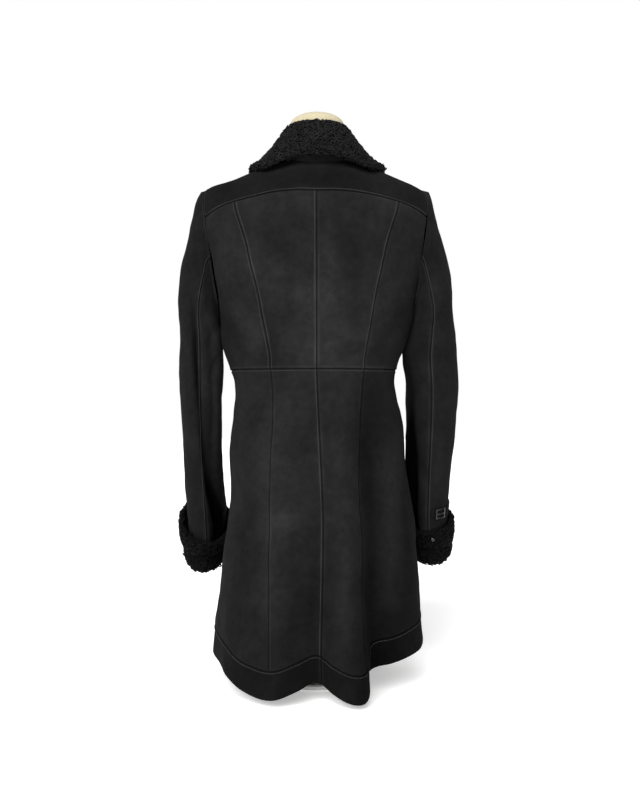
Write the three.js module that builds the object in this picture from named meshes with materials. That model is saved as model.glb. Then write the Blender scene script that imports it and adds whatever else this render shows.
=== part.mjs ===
// A woman's fitted shearling coat, closed, on a limbless dress form with a low stand.
// Millimetres, +Z up. The coat's front faces -Y, its back +Y, and the wearer's left is +X.
// The origin is on the floor, under the middle of the whole object's box.
// Angles go round the body in degrees: 0 is the left side, 90 the back, 180 the right side, 270 the front.
import * as THREE from "three";

// Driving dimensions
const SKIN = 6; // suede with its clipped wool, through the wall
const TURNED_SKIN = 7; // the collar and cuffs, worn wool side out
const SEAM_GAP = 0.3;
const WAIST_Z = 542;
const BAND_DEPTH = 45; // the strip sewn round the hem
const FRONT_OVERLAP = 36; // each front reaches this far past the centre
const ARMHOLE = { centreY: -6, centreZ: 747, halfDepth: 56, halfHeight: 112, steps: 24, yokeSteps: 4 };
const NECK_Z = { back: 892, side: 903, front: 842 };

const CENTRE = { x: 0.7, y: 14 }; // the middle of the whole object's box, measured from the neck's axis

// Half widths and depths of the coat's outer face, from below the hem to the neck
const BODY = [
  { z: -30, left: 187, right: 187, back: 188, front: 174, power: 2.1 },
  { z: 71, left: 181, right: 182, back: 178, front: 164, power: 2.12 },
  { z: 141, left: 172, right: 178, back: 168, front: 156, power: 2.15 },
  { z: 211, left: 162, right: 172, back: 158, front: 149, power: 2.18 },
  { z: 263, left: 155, right: 170, back: 150, front: 143, power: 2.2 },
  { z: 316, left: 150, right: 165, back: 142, front: 136, power: 2.22 },
  { z: 351, left: 151, right: 160, back: 137, front: 132, power: 2.25 },
  { z: 386, left: 153, right: 154, back: 131, front: 127, power: 2.25 },
  { z: 421, left: 151, right: 151, back: 123, front: 121, power: 2.25 },
  { z: 456, left: 146, right: 147, back: 114, front: 115, power: 2.25 },
  { z: 491, left: 142, right: 141.5, back: 106, front: 110, power: 2.25 },
  { z: 526, left: 143.5, right: 136.5, back: 100, front: 108, power: 2.25 },
  { z: 561, left: 155, right: 143, back: 99, front: 109, power: 2.3 },
  { z: 585, left: 163, right: 153, back: 102, front: 113, power: 2.35 },
  { z: 620, left: 167.5, right: 164.5, back: 108, front: 121, power: 2.4 },
  { z: 655, left: 171, right: 169, back: 113, front: 127, power: 2.45 },
  { z: 706, left: 183, right: 181, back: 119, front: 131, power: 2.5 },
  { z: 758, left: 193, right: 191, back: 118, front: 125, power: 2.5 },
  { z: 800, left: 198, right: 196, back: 112, front: 112, power: 2.5 },
  { z: 830, left: 198, right: 195, back: 103, front: 98, power: 2.45 },
  { z: 848, left: 195, right: 191, back: 95, front: 87, power: 2.4 },
  { z: 859, left: 187, right: 173, back: 88, front: 79, power: 2.35 },
  { z: 868, left: 160, right: 149, back: 82, front: 73, power: 2.3 },
  { z: 880, left: 128, right: 122, back: 74, front: 66, power: 2.2 },
  { z: 892, left: 100, right: 98, back: 65, front: 59, power: 2.1 },
  { z: 903, left: 74, right: 74, back: 56, front: 53, power: 2.0 },
  { z: 912, left: 62, right: 62, back: 50, front: 50, power: 2.0 },
];

// Soft folds of the skirt: where each stands out (+) or in (-) at the hem, and where it dies out above
const FOLDS = [
  { angle: 22, out: -7, before: 13, after: 13, top: 330 },
  { angle: 46, out: 4, before: 12, after: 10, top: 380 },
  { angle: 69, out: 12, before: 13, after: 11, top: 420 },
  { angle: 90, out: -32, before: 9.5, after: 9.5, top: 330 },
  { angle: 109, out: 21, before: 9, after: 7.5, top: 480 },
  { angle: 127, out: -45, before: 8, after: 25, top: 510 },
  { angle: 167, out: 9, before: 11, after: 14, top: 380 },
  { angle: 205, out: -14, before: 11, after: 12, top: 380 },
  { angle: 228, out: 11, before: 12, after: 12, top: 400 },
  { angle: 251, out: -8, before: 11, after: 11, top: 320 },
  { angle: 291, out: -9, before: 11, after: 11, top: 340 },
  { angle: 313, out: 12, before: 12, after: 12, top: 400 },
  { angle: 336, out: -13, before: 11, after: 11, top: 360 },
];

// Height of the hem round the coat
const HEM = [
  { angle: 0, z: 54 },
  { angle: 20, z: 45 },
  { angle: 36, z: 35 },
  { angle: 52, z: 18 },
  { angle: 68, z: 13 },
  { angle: 80, z: 25 },
  { angle: 90, z: 34 },
  { angle: 99, z: 19 },
  { angle: 108, z: 9 },
  { angle: 116, z: 14 },
  { angle: 127, z: 45 },
  { angle: 143, z: 52 },
  { angle: 160, z: 64 },
  { angle: 180, z: 83 },
  { angle: 205, z: 75 },
  { angle: 228, z: 44 },
  { angle: 250, z: 44 },
  { angle: 270, z: 36 },
  { angle: 291, z: 42 },
  { angle: 313, z: 34 },
  { angle: 336, z: 52 },
  { angle: 360, z: 54 },
];

// Lengthwise seams of the back, as angles round the body
const SEAMS = [
  { z: -20, left: 67, centre: 91, right: 114 },
  { z: 80, left: 65.5, centre: 92.5, right: 114.5 },
  { z: 276, left: 60.5, centre: 94.2, right: 118 },
  { z: 325, left: 59, centre: 94, right: 119 },
  { z: 420, left: 56, centre: 92.5, right: 124 },
  { z: 480, left: 53, centre: 91.3, right: 128 },
  { z: 542, left: 49, centre: 90, right: 133 },
  { z: 568, left: 49, centre: 90, right: 133 },
  { z: 626, left: 47.5, centre: 90, right: 133 },
  { z: 690, left: 45, centre: 90, right: 135 },
  { z: 758, left: 40.5, centre: 90, right: 139.5 },
  { z: 820, left: 32, centre: 90, right: 148 },
];

// The yoke seam drops from the middle of the back towards the armholes
const YOKE_SEAM = [
  { away: 0, z: 839 },
  { away: 22, z: 838 },
  { away: 42, z: 833 },
  { away: 58, z: 822 },
  { away: 68, z: 812 },
  { away: 76, z: 803 },
];

// Sleeve outline seen from behind: outer and inner edge of each ring, its middle and half depth
// front to back, and how far the ring's back drops where the forearm leans forward
const SLEEVE = {
  left: [
    { outX: 203, outZ: 855, inX: 169, inZ: 633.5, midY: -6, half: 57.5, dip: 0 },
    { outX: 212, outZ: 835, inX: 169.5, inZ: 631.5, midY: -6, half: 61, dip: 0 },
    { outX: 220, outZ: 797, inX: 170, inZ: 629, midY: -6, half: 64, dip: 0 },
    { outX: 231, outZ: 750, inX: 170, inZ: 626, midY: -6, half: 66, dip: 0 },
    { outX: 239, outZ: 700, inX: 170, inZ: 622, midY: -6, half: 66, dip: 0 },
    { outX: 242, outZ: 655, inX: 169.5, inZ: 614, midY: -6, half: 65, dip: 0 },
    { outX: 242.4, outZ: 612, inX: 166.5, inZ: 596, midY: -7, half: 63, dip: 0 },
    { outX: 241.8, outZ: 568, inX: 166, inZ: 560, midY: -9, half: 61, dip: 1 },
    { outX: 240.9, outZ: 520, inX: 167.3, inZ: 516, midY: -12, half: 59, dip: 3 },
    { outX: 239.1, outZ: 470, inX: 167.8, inZ: 468, midY: -17, half: 57, dip: 6 },
    { outX: 238, outZ: 420, inX: 168.3, inZ: 420, midY: -26, half: 55, dip: 11 },
    { outX: 236.8, outZ: 370, inX: 167.4, inZ: 371, midY: -39, half: 53, dip: 17 },
    { outX: 235.9, outZ: 320, inX: 165.5, inZ: 322, midY: -57, half: 51, dip: 22 },
    { outX: 235, outZ: 275, inX: 166, inZ: 277, midY: -76, half: 49, dip: 25 },
    { outX: 231, outZ: 247, inX: 172, inZ: 249, midY: -89, half: 44.5, dip: 26 },
  ],
  right: [
    { outX: 196, outZ: 855, inX: 167, inZ: 633.5, midY: -6, half: 57.5, dip: 0 },
    { outX: 204, outZ: 835, inX: 167.5, inZ: 631.5, midY: -6, half: 61, dip: 0 },
    { outX: 212, outZ: 797, inX: 168, inZ: 629, midY: -6, half: 64, dip: 0 },
    { outX: 223, outZ: 750, inX: 168, inZ: 626, midY: -6, half: 66, dip: 0 },
    { outX: 233, outZ: 700, inX: 168, inZ: 622, midY: -6, half: 66, dip: 0 },
    { outX: 239, outZ: 655, inX: 166.5, inZ: 614, midY: -6, half: 65, dip: 0 },
    { outX: 242.5, outZ: 612, inX: 159.5, inZ: 596, midY: -7, half: 63, dip: 0 },
    { outX: 245, outZ: 568, inX: 153.5, inZ: 560, midY: -9, half: 61, dip: 1 },
    { outX: 247.5, outZ: 520, inX: 156.5, inZ: 516, midY: -13, half: 59, dip: 3 },
    { outX: 247.5, outZ: 470, inX: 157.4, inZ: 468, midY: -21, half: 57, dip: 5 },
    { outX: 244.5, outZ: 420, inX: 159.5, inZ: 420, midY: -32, half: 55, dip: 8 },
    { outX: 240.5, outZ: 370, inX: 161.5, inZ: 371, midY: -46, half: 53, dip: 11 },
    { outX: 237, outZ: 320, inX: 164, inZ: 322, midY: -62, half: 51, dip: 14 },
    { outX: 235, outZ: 277, inX: 168, inZ: 279, midY: -80, half: 48.5, dip: 16 },
    { outX: 231, outZ: 253, inX: 174, inZ: 255, midY: -91, half: 44.5, dip: 17 },
  ],
};

// Turned-up cuffs, ring by ring from the roll to the free top edge
const CUFF_TUCK = { left: 2.4, right: 4.6 }; // how far below the sleeve's last ring the turned skin starts
const CUFF = {
  left: [
    { z: 227, lean: 0, outX: 243, inX: 165, midY: -95, half: 54, dip: 24 },
    { z: 249, lean: 4, outX: 249, inX: 158, midY: -86, half: 58, dip: 29 },
    { z: 269, lean: 8, outX: 250, inX: 154, midY: -77, half: 60, dip: 36 },
  ],
  right: [
    { z: 232, lean: 0, outX: 246, inX: 167, midY: -99, half: 55.5, dip: 16 },
    { z: 253, lean: 2, outX: 249, inX: 162, midY: -90, half: 58, dip: 19 },
    { z: 273, lean: 3, outX: 248.5, inX: 160, midY: -81, half: 59, dip: 22 },
  ],
};

// Half the collar, from the middle of the back to its front end: the middle of its wall at the fold
// and at the free edge
const COLLAR = [
  { turn: 0, foldX: 0, foldY: 72, foldZ: 957, edgeX: 0, edgeY: 88, edgeZ: 899, swell: 5 },
  { turn: 28, foldX: 38, foldY: 66, foldZ: 953, edgeX: 46, edgeY: 87, edgeZ: 893, swell: 5 },
  { turn: 58, foldX: 59, foldY: 40, foldZ: 935, edgeX: 94, edgeY: 76, edgeZ: 878, swell: 2 },
  { turn: 90, foldX: 68, foldY: 2, foldZ: 917, edgeX: 124, edgeY: 6, edgeZ: 890.5, swell: -2 },
  { turn: 118, foldX: 76, foldY: -46, foldZ: 899, edgeX: 112, edgeY: -64, edgeZ: 877, swell: 1 },
  { turn: 145, foldX: 46, foldY: -75, foldZ: 880, edgeX: 84, edgeY: -104, edgeZ: 832, swell: 4 },
  { turn: 172, foldX: 13, foldY: -97, foldZ: 862, edgeX: 53, edgeY: -127, edgeZ: 780, swell: 4 },
];

// The dress form inside, and the low stand that carries it
const FORM = { neckRadius: 48, neckJoinZ: 950, capTop: 992, lowZ: 318, turns: 32 };
const STAND = { footY: -14, footRadius: 86, footThick: 9, hubRadius: 24, hubTop: 40, poleRadius: 12.5 };
const BUTTON = { radius: 13, thick: 5, heights: [752, 654, 556, 458] };
const STRAP = { step: 12.35, width: 14, thick: 2.4, fromTurn: -62, toTurn: 92 };
const BUCKLE = { turn: 64, length: 19, width: 19, bar: 2.2, thick: 1.9 };
const KEEPER = { turn: 38, length: 6, width: 18, thick: 1.8 };
const STUD = { turn: 90, radius: 4, thick: 2.6 };

// Colours and finishes
const finish = (color, roughness, metalness = 0) =>
  new THREE.MeshStandardMaterial({ color, roughness, metalness });
const MATERIALS = {
  suede: finish(0x2b2b2c, 0.95),
  wool: finish(0x171717, 1),
  linen: finish(0xe6dcb4, 0.9),
  steel: finish(0xf0efec, 0.45, 0.2),
  gunmetal: finish(0x6d6d70, 0.3, 1),
  horn: finish(0x1a1919, 0.4),
};

const coat = new THREE.Group();
const rad = THREE.MathUtils.degToRad;
const deg = THREE.MathUtils.radToDeg;
const lerp = THREE.MathUtils.lerp;

// A smooth curve through a table's rows: value of one column at a place along another
function track(rows, along, column) {
  const slope = (i) => {
    const a = rows[Math.max(i - 1, 0)];
    const b = rows[Math.min(i + 1, rows.length - 1)];
    return (b[column] - a[column]) / (b[along] - a[along]);
  };
  return (at) => {
    let i = 0;
    while (i < rows.length - 2 && at > rows[i + 1][along]) i += 1;
    const [p, q] = [rows[i], rows[i + 1]];
    const span = q[along] - p[along];
    const t = THREE.MathUtils.clamp((at - p[along]) / span, 0, 1);
    const bend = t * t * (3 - 2 * t);
    const leave = t * (1 - t) * (1 - t) * span * slope(i);
    const arrive = t * t * (t - 1) * span * slope(i + 1);
    return lerp(p[column], q[column], bend) + leave + arrive;
  };
}

const sizes = Object.fromEntries(
  ["left", "right", "back", "front", "power"].map((column) => [column, track(BODY, "z", column)]),
);
const seamAngle = Object.fromEntries(
  ["left", "centre", "right"].map((column) => [column, track(SEAMS, "z", column)]),
);
const hemTrack = track(HEM, "angle", "z");
const yokeTrack = track(YOKE_SEAM, "away", "z");
const wrap = (angle) => ((angle % 360) + 360) % 360;
const hemZ = (angle) => hemTrack(wrap(angle));
const yokeZ = (angle) => yokeTrack(Math.min(Math.abs(angle - 90), 76));

// How far a point of the skirt stands out of its plain section
function foldOut(angle, z) {
  let out = 0;
  for (const fold of FOLDS) {
    let away = wrap(angle - fold.angle);
    if (away > 180) away -= 360;
    const reach = Math.max(0, (fold.top - z) / fold.top);
    const width = away < 0 ? fold.before : fold.after;
    out += fold.out * Math.min(reach, 1.1) ** 1.5 * Math.exp(-((away / width) ** 2));
  }
  return out;
}

// A point on the coat's outer face, or a given distance inside it
function bodyPoint(angle, z, inset = 0) {
  const [c, s] = [Math.cos(rad(angle)), Math.sin(rad(angle))];
  const wide = c >= 0 ? sizes.left(z) : sizes.right(z);
  const deep = s >= 0 ? sizes.back(z) : sizes.front(z);
  const n = sizes.power(z);
  const radius = (Math.abs(c / wide) ** n + Math.abs(s / deep) ** n) ** (-1 / n);
  const r = radius + foldOut(angle, z) - inset;
  return new THREE.Vector3(r * c, r * s, z);
}

// The unit vector that points out of a surface given as a function of two numbers
function outward(surface, u, v) {
  const step = 1e-3;
  const across = surface(u + step, v).sub(surface(u - step, v)).normalize();
  const up = surface(u, v + step).sub(surface(u, v - step)).normalize();
  return { across, up, out: across.clone().cross(up).normalize() };
}

const evenly = (count) => Array.from({ length: count + 1 }, (_, i) => i / count);

// A closed wall of cloth. The surface gives its outer face; columns run across it and rows up it.
// Every free edge is drawn in by half a seam gap, so that panels stand clear of each other.
function clothWall(surface, columns, rows, { thick = SKIN, around = false, trim = SEAM_GAP / 2 } = {}) {
  const wide = around ? columns.length - 1 : columns.length;
  const outer = [];
  const inner = [];
  rows.forEach((v, j) => {
    for (let i = 0; i < wide; i += 1) {
      const u = columns[i];
      const tangents = outward(surface, u, v);
      const { across, up } = tangents;
      const out = surface.out ? surface.out(u, v) : tangents.out;
      const point = surface(u, v);
      const inAcross = up.clone().cross(out).normalize().multiplyScalar(trim);
      const inUp = out.clone().cross(across).normalize().multiplyScalar(trim);
      if (!around && i === 0) point.add(inAcross);
      if (!around && i === wide - 1) point.sub(inAcross);
      if (j === 0) point.add(inUp);
      if (j === rows.length - 1) point.sub(inUp);
      outer.push(point);
      inner.push(point.clone().addScaledVector(out, -thick));
    }
  });
  const inside = outer.length;
  const at = (i, j) => j * wide + (i % wide);
  const faces = [];
  const quad = (a, b, c, d) => faces.push(a, b, c, a, c, d);
  const acrossCount = columns.length - 1;
  const upCount = rows.length - 1;
  for (let j = 0; j < upCount; j += 1) {
    for (let i = 0; i < acrossCount; i += 1) {
      const [a, b, c, d] = [at(i, j), at(i + 1, j), at(i + 1, j + 1), at(i, j + 1)];
      quad(a, b, c, d);
      quad(inside + d, inside + c, inside + b, inside + a);
    }
  }
  for (let i = 0; i < acrossCount; i += 1) {
    const [a, b] = [at(i, 0), at(i + 1, 0)];
    const [c, d] = [at(i, upCount), at(i + 1, upCount)];
    quad(inside + a, inside + b, b, a);
    quad(d, inside + d, inside + c, c);
  }
  for (let j = 0; j < upCount && !around; j += 1) {
    const [a, b] = [at(0, j), at(0, j + 1)];
    const [c, d] = [at(acrossCount, j), at(acrossCount, j + 1)];
    quad(a, b, inside + b, inside + a);
    quad(inside + d, d, c, inside + c);
  }
  return solid([...outer, ...inner], faces);
}

function solid(points, faces) {
  const geometry = new THREE.BufferGeometry();
  const numbers = points.flatMap((point) => point.toArray());
  geometry.setAttribute("position", new THREE.Float32BufferAttribute(numbers, 3));
  geometry.setIndex(faces);
  return geometry;
}

function piece(name, geometry, material) {
  const mesh = new THREE.Mesh(geometry, material);
  mesh.name = name;
  coat.add(mesh);
  return mesh;
}

// A point a given distance inside the outer face, square to it
function bodyInside(angle, z, depth) {
  const { out } = outward(bodyPoint, angle, z);
  return bodyPoint(angle, z).addScaledVector(out, -depth);
}

// A panel between lengthwise edges. Each edge gives its angle and height for a share of the way up,
// and low and high give the heights of the panel's lower and upper edge for an angle.
function panel({ edges, counts, low, high, inset = null }) {
  const total = counts.reduce((sum, count) => sum + count, 0);
  const place = (u, v) => {
    let rest = u * total;
    let i = 0;
    while (i < counts.length - 1 && rest > counts[i]) {
      rest -= counts[i];
      i += 1;
    }
    const t = rest / counts[i];
    const [left, right] = [edges[i], edges[i + 1]];
    const bottomAngle = lerp(left(0)[0], right(0)[0], t);
    const topAngle = lerp(left(1)[0], right(1)[0], t);
    const angle = lerp(bottomAngle, topAngle, v) + lerp(left(v)[0], right(v)[0], t) -
      lerp(lerp(left(0)[0], right(0)[0], t), lerp(left(1)[0], right(1)[0], t), v);
    const z = lerp(low(bottomAngle), high(topAngle), v) + lerp(left(v)[1], right(v)[1], t) -
      lerp(lerp(left(0)[1], right(0)[1], t), lerp(left(1)[1], right(1)[1], t), v);
    return [angle, z];
  };
  const surface = (u, v) => {
    const [angle, z] = place(u, v);
    const depth = inset ? inset(angle, z) : 0;
    return depth ? bodyInside(angle, z, depth) : bodyPoint(angle, z);
  };
  surface.out = (u, v) => outward(bodyPoint, ...place(u, v)).out;
  surface.columns = evenly(total);
  surface.place = place;
  return surface;
}

// The armhole's edge: turn 0 is its top, 90 its back, 180 under the arm and 270 its front
function armholePlace(side, turn) {
  const y = ARMHOLE.centreY + ARMHOLE.halfDepth * Math.sin(rad(turn));
  const z = ARMHOLE.centreZ + ARMHOLE.halfHeight * Math.cos(rad(turn));
  const wide = sizes[side](z);
  const deep = y >= 0 ? sizes.back(z) : sizes.front(z);
  const n = sizes.power(z);
  const x = wide * (1 - Math.abs(y / deep) ** n) ** (1 / n);
  const angle = deg(Math.atan2(y, x));
  return [side === "left" ? angle : 180 - angle, z];
}

const armStep = 360 / ARMHOLE.steps;
const backArmSteps = ARMHOLE.steps / 2 - ARMHOLE.yokeSteps;
const SIDE_ROWS = 3; // rows of the bodice below the armhole
const bodiceRows = SIDE_ROWS + backArmSteps;
const COLUMNS = { sideBack: 6, centreBack: 5, front: 9, lap: 3 };

const neckZ = (angle) => {
  const away = Math.abs(wrap(angle) - 90);
  const fromBack = Math.min(away, 360 - away);
  return fromBack <= 90
    ? lerp(NECK_Z.back, NECK_Z.side, Math.sin(rad(fromBack)) ** 2)
    : lerp(NECK_Z.front, NECK_Z.side, Math.cos(rad(fromBack - 90)) ** 3);
};

// The side edge of a bodice panel: up the side seam, then round the armhole
function bodiceSide(side, towardsFront, steps) {
  const rowsAll = SIDE_ROWS + steps;
  const under = armholePlace(side, 180);
  return (v) => {
    const row = v * rowsAll;
    if (row <= SIDE_ROWS) return [under[0], lerp(WAIST_Z, under[1], row / SIDE_ROWS)];
    const turned = (row - SIDE_ROWS) * armStep;
    return armholePlace(side, towardsFront ? 180 + turned : 180 - turned);
  };
}

// Back bodice: two side panels and two centre panels, from the waist seam up to the yoke seam
const seamTop = Object.fromEntries(
  ["left", "centre", "right"].map((name) => [name, seamAngle[name](820)]),
);
const yokeCorner = { left: armholePlace("left", 60), right: armholePlace("right", 60) };
const bodiceSeam = (name) => (v) => {
  const z = lerp(WAIST_Z, yokeZ(seamTop[name]), v);
  return [z > 819 ? seamTop[name] : seamAngle[name](z), z];
};
const atWaist = () => WAIST_Z;

function backBodice() {
  const edge = {
    sideLeft: bodiceSide("left", false, backArmSteps),
    left: bodiceSeam("left"),
    centre: bodiceSeam("centre"),
    right: bodiceSeam("right"),
    sideRight: bodiceSide("right", false, backArmSteps),
  };
  const panels = [
    { name: "back_side_left", edges: [edge.sideLeft, edge.left], counts: [COLUMNS.sideBack] },
    { name: "back_centre_left", edges: [edge.left, edge.centre], counts: [COLUMNS.centreBack] },
    { name: "back_centre_right", edges: [edge.centre, edge.right], counts: [COLUMNS.centreBack] },
    { name: "back_side_right", edges: [edge.right, edge.sideRight], counts: [COLUMNS.sideBack] },
  ];
  for (const { name, edges, counts } of panels) {
    const surface = panel({ edges, counts, low: atWaist, high: yokeZ });
    piece(name, clothWall(surface, surface.columns, evenly(bodiceRows)), MATERIALS.suede);
  }
}

// Yoke: one piece over both shoulder blades, from the shoulder seams down to the yoke seam
function yoke() {
  const parts = [
    { count: ARMHOLE.yokeSteps, at: (t) => armholePlace("left", 60 * t) },
    { count: COLUMNS.sideBack, at: (t) => alongYoke(yokeCorner.left[0], seamTop.left, t) },
    { count: COLUMNS.centreBack, at: (t) => alongYoke(seamTop.left, seamTop.centre, t) },
    { count: COLUMNS.centreBack, at: (t) => alongYoke(seamTop.centre, seamTop.right, t) },
    { count: COLUMNS.sideBack, at: (t) => alongYoke(seamTop.right, yokeCorner.right[0], t) },
    { count: ARMHOLE.yokeSteps, at: (t) => armholePlace("right", 60 * (1 - t)) },
  ];
  const total = parts.reduce((sum, part) => sum + part.count, 0);
  const bottom = (u) => {
    let rest = u * total;
    let i = 0;
    while (i < parts.length - 1 && rest > parts[i].count) {
      rest -= parts[i].count;
      i += 1;
    }
    return parts[i].at(rest / parts[i].count);
  };
  const surface = (u, v) => {
    const [angle, z] = bottom(u);
    const neckAngle = lerp(0, 180, u);
    const at = [lerp(angle, neckAngle, v), lerp(z, neckZ(neckAngle), v)];
    return bodyPoint(at[0], at[1]);
  };
  surface.out = (u, v) => {
    const [angle, z] = bottom(u);
    const neckAngle = lerp(0, 180, u);
    return outward(bodyPoint, lerp(angle, neckAngle, v), lerp(z, neckZ(neckAngle), v)).out;
  };
  piece("yoke", clothWall(surface, evenly(total), evenly(6)), MATERIALS.suede);
}

function alongYoke(from, to, t) {
  const angle = lerp(from, to, t);
  return [angle, yokeZ(angle)];
}

// The fronts: the wearer's right laps over the left, which steps inwards under it
const lapAngle = (z) => deg(Math.asin(FRONT_OVERLAP / sizes.front(Math.min(z, NECK_Z.front))));
const lap = {
  far: (z) => 270 - lapAngle(z),
  near: (z) => 270 + lapAngle(z),
  step: (z) => 270 + lapAngle(z) * 1.5,
};
function underLap(angle, z) {
  const t = THREE.MathUtils.clamp((lap.step(z) - 1 - angle) / (lap.step(z) - lap.near(z) - 2), 0, 1);
  return (SKIN + 0.45) * t * t * (3 - 2 * t);
}

function frontBodice(side) {
  const armSteps = ARMHOLE.steps / 2;
  const shoulderRows = 3;
  const allRows = SIDE_ROWS + armSteps + shoulderRows;
  const shoulder = armholePlace(side, 0);
  const full = (place) => [side === "left" && place[0] < 180 ? place[0] + 360 : place[0], place[1]];
  const below = bodiceSide(side, true, armSteps);
  const neckAngle = side === "left" ? 360 : 180;
  const outerEdge = (v) => {
    const row = v * allRows;
    if (row <= SIDE_ROWS + armSteps) return full(below(row / (SIDE_ROWS + armSteps)));
    const t = (row - SIDE_ROWS - armSteps) / shoulderRows;
    return [lerp(full(shoulder)[0], neckAngle, t), lerp(shoulder[1], NECK_Z.side, t)];
  };
  const lapEdge = (angleOf) => (v) => {
    const top = neckZ(angleOf(NECK_Z.front));
    const z = lerp(WAIST_Z, top, v);
    return [v === 1 ? angleOf(NECK_Z.front) : angleOf(Math.min(z, NECK_Z.front)), z];
  };
  const edges = side === "right"
    ? [outerEdge, lapEdge(lap.far), lapEdge(lap.near)]
    : [lapEdge(lap.far), lapEdge(lap.near), lapEdge(lap.step), outerEdge];
  const counts = side === "right" ? [COLUMNS.front, COLUMNS.lap] : [COLUMNS.lap, 2, COLUMNS.front - 1];
  const inset = side === "left" ? underLap : null;
  const surface = panel({ edges, counts, low: atWaist, high: neckZ, inset });
  piece(`front_${side}`, clothWall(surface, surface.columns, evenly(allRows)), MATERIALS.suede);
}

// Skirt panels hang from the waist seam to the strip round the hem
const bandZ = (angle) => hemZ(angle) + BAND_DEPTH;
function skirtSeam(angleOf) {
  // A seam's angle depends on its height and the hem's height on the angle, so a few rounds settle both
  let foot = bandZ(angleOf(80));
  for (let round = 0; round < 4; round += 1) foot = bandZ(angleOf(foot));
  return (v) => {
    const z = lerp(foot, WAIST_Z, v);
    return [angleOf(z), z];
  };
}

const underArm = { left: armholePlace("left", 180)[0], right: armholePlace("right", 180)[0] };
const skirtEdge = {
  sideLeft: skirtSeam(() => underArm.left),
  left: skirtSeam(seamAngle.left),
  centre: skirtSeam(seamAngle.centre),
  crest: skirtSeam((z) => seamAngle.right(z) - 8),
  right: skirtSeam(seamAngle.right),
  valley: skirtSeam((z) => seamAngle.right(z) + 14),
  sideRight: skirtSeam(() => underArm.right),
  lapFar: skirtSeam(lap.far),
  lapNear: skirtSeam(lap.near),
  lapStep: skirtSeam(lap.step),
  sideLeftAgain: skirtSeam(() => underArm.left + 360),
};
const SKIRT_PANELS = [
  { name: "skirt_side_back_left", edges: ["sideLeft", "left"], counts: [7] },
  { name: "skirt_centre_back_left", edges: ["left", "centre"], counts: [6] },
  { name: "skirt_centre_back_right", edges: ["centre", "crest", "right"], counts: [4, 3] },
  { name: "skirt_side_back_right", edges: ["right", "valley", "sideRight"], counts: [5, 5] },
  { name: "skirt_front_right", edges: ["sideRight", "lapFar", "lapNear"], counts: [9, 3] },
  { name: "skirt_front_left", edges: ["lapFar", "lapNear", "lapStep", "sideLeftAgain"], counts: [3, 2, 8] },
];
const SKIRT_ROWS = evenly(10);

function skirt() {
  for (const { name, edges, counts } of SKIRT_PANELS) {
    const inset = name === "skirt_front_left" ? underLap : null;
    const sides = edges.map((edge) => skirtEdge[edge]);
    const surface = panel({ edges: sides, counts, low: bandZ, high: atWaist, inset });
    piece(name, clothWall(surface, surface.columns, SKIRT_ROWS), MATERIALS.suede);
  }
}

// Hem strip: four pieces, joined at the side seams and the middle of the back
const HEM_STRIPS = {
  hem_back_left: ["skirt_side_back_left", "skirt_centre_back_left"],
  hem_back_right: ["skirt_centre_back_right", "skirt_side_back_right"],
  hem_front_right: ["skirt_front_right"],
  hem_front_left: ["skirt_front_left"],
};
function hemStrips() {
  const anglesOf = (name) => {
    const { edges, counts } = SKIRT_PANELS.find((row) => row.name === name);
    const feet = edges.map((edge) => skirtEdge[edge](0)[0]);
    return counts.flatMap((count, i) => {
      const shares = evenly(count).slice(i ? 1 : 0);
      return shares.map((t) => lerp(feet[i], feet[i + 1], t));
    });
  };
  for (const [name, over] of Object.entries(HEM_STRIPS)) {
    const list = over.flatMap((panelName, i) => anglesOf(panelName).slice(i ? 1 : 0));
    const count = list.length - 1;
    const angleAt = (u) => {
      const i = THREE.MathUtils.clamp(Math.floor(u * count), 0, count - 1);
      return lerp(list[i], list[i + 1], u * count - i);
    };
    const inset = name === "hem_front_left" ? underLap : () => 0;
    const surface = (u, v) => {
      const angle = angleAt(u);
      const z = hemZ(angle) + v * BAND_DEPTH;
      return bodyInside(angle, z, inset(angle, z));
    };
    surface.out = (u, v) => outward(bodyPoint, angleAt(u), hemZ(angleAt(u)) + v * BAND_DEPTH).out;
    piece(name, clothWall(surface, evenly(count), evenly(2)), MATERIALS.suede);
  }
}

// Sleeves: rings that fan out of the armhole and then run down the arm. Turns are the armhole's.
const SLEEVE_FOLDS = {
  left: [
    { turn: 128, out: -9, wide: 17, from: 0.34, to: 1.1 },
    { turn: 100, out: 4, wide: 16, from: 0.3, to: 1.1 },
    { turn: 300, out: -4, wide: 18, from: 0.35, to: 1.0 },
  ],
  right: [
    { turn: 140, out: -5, wide: 16, from: 0.36, to: 1.1 },
    { turn: 108, out: 3, wide: 18, from: 0.3, to: 1.1 },
    { turn: 300, out: -4, wide: 18, from: 0.35, to: 1.0 },
  ],
};

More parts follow.
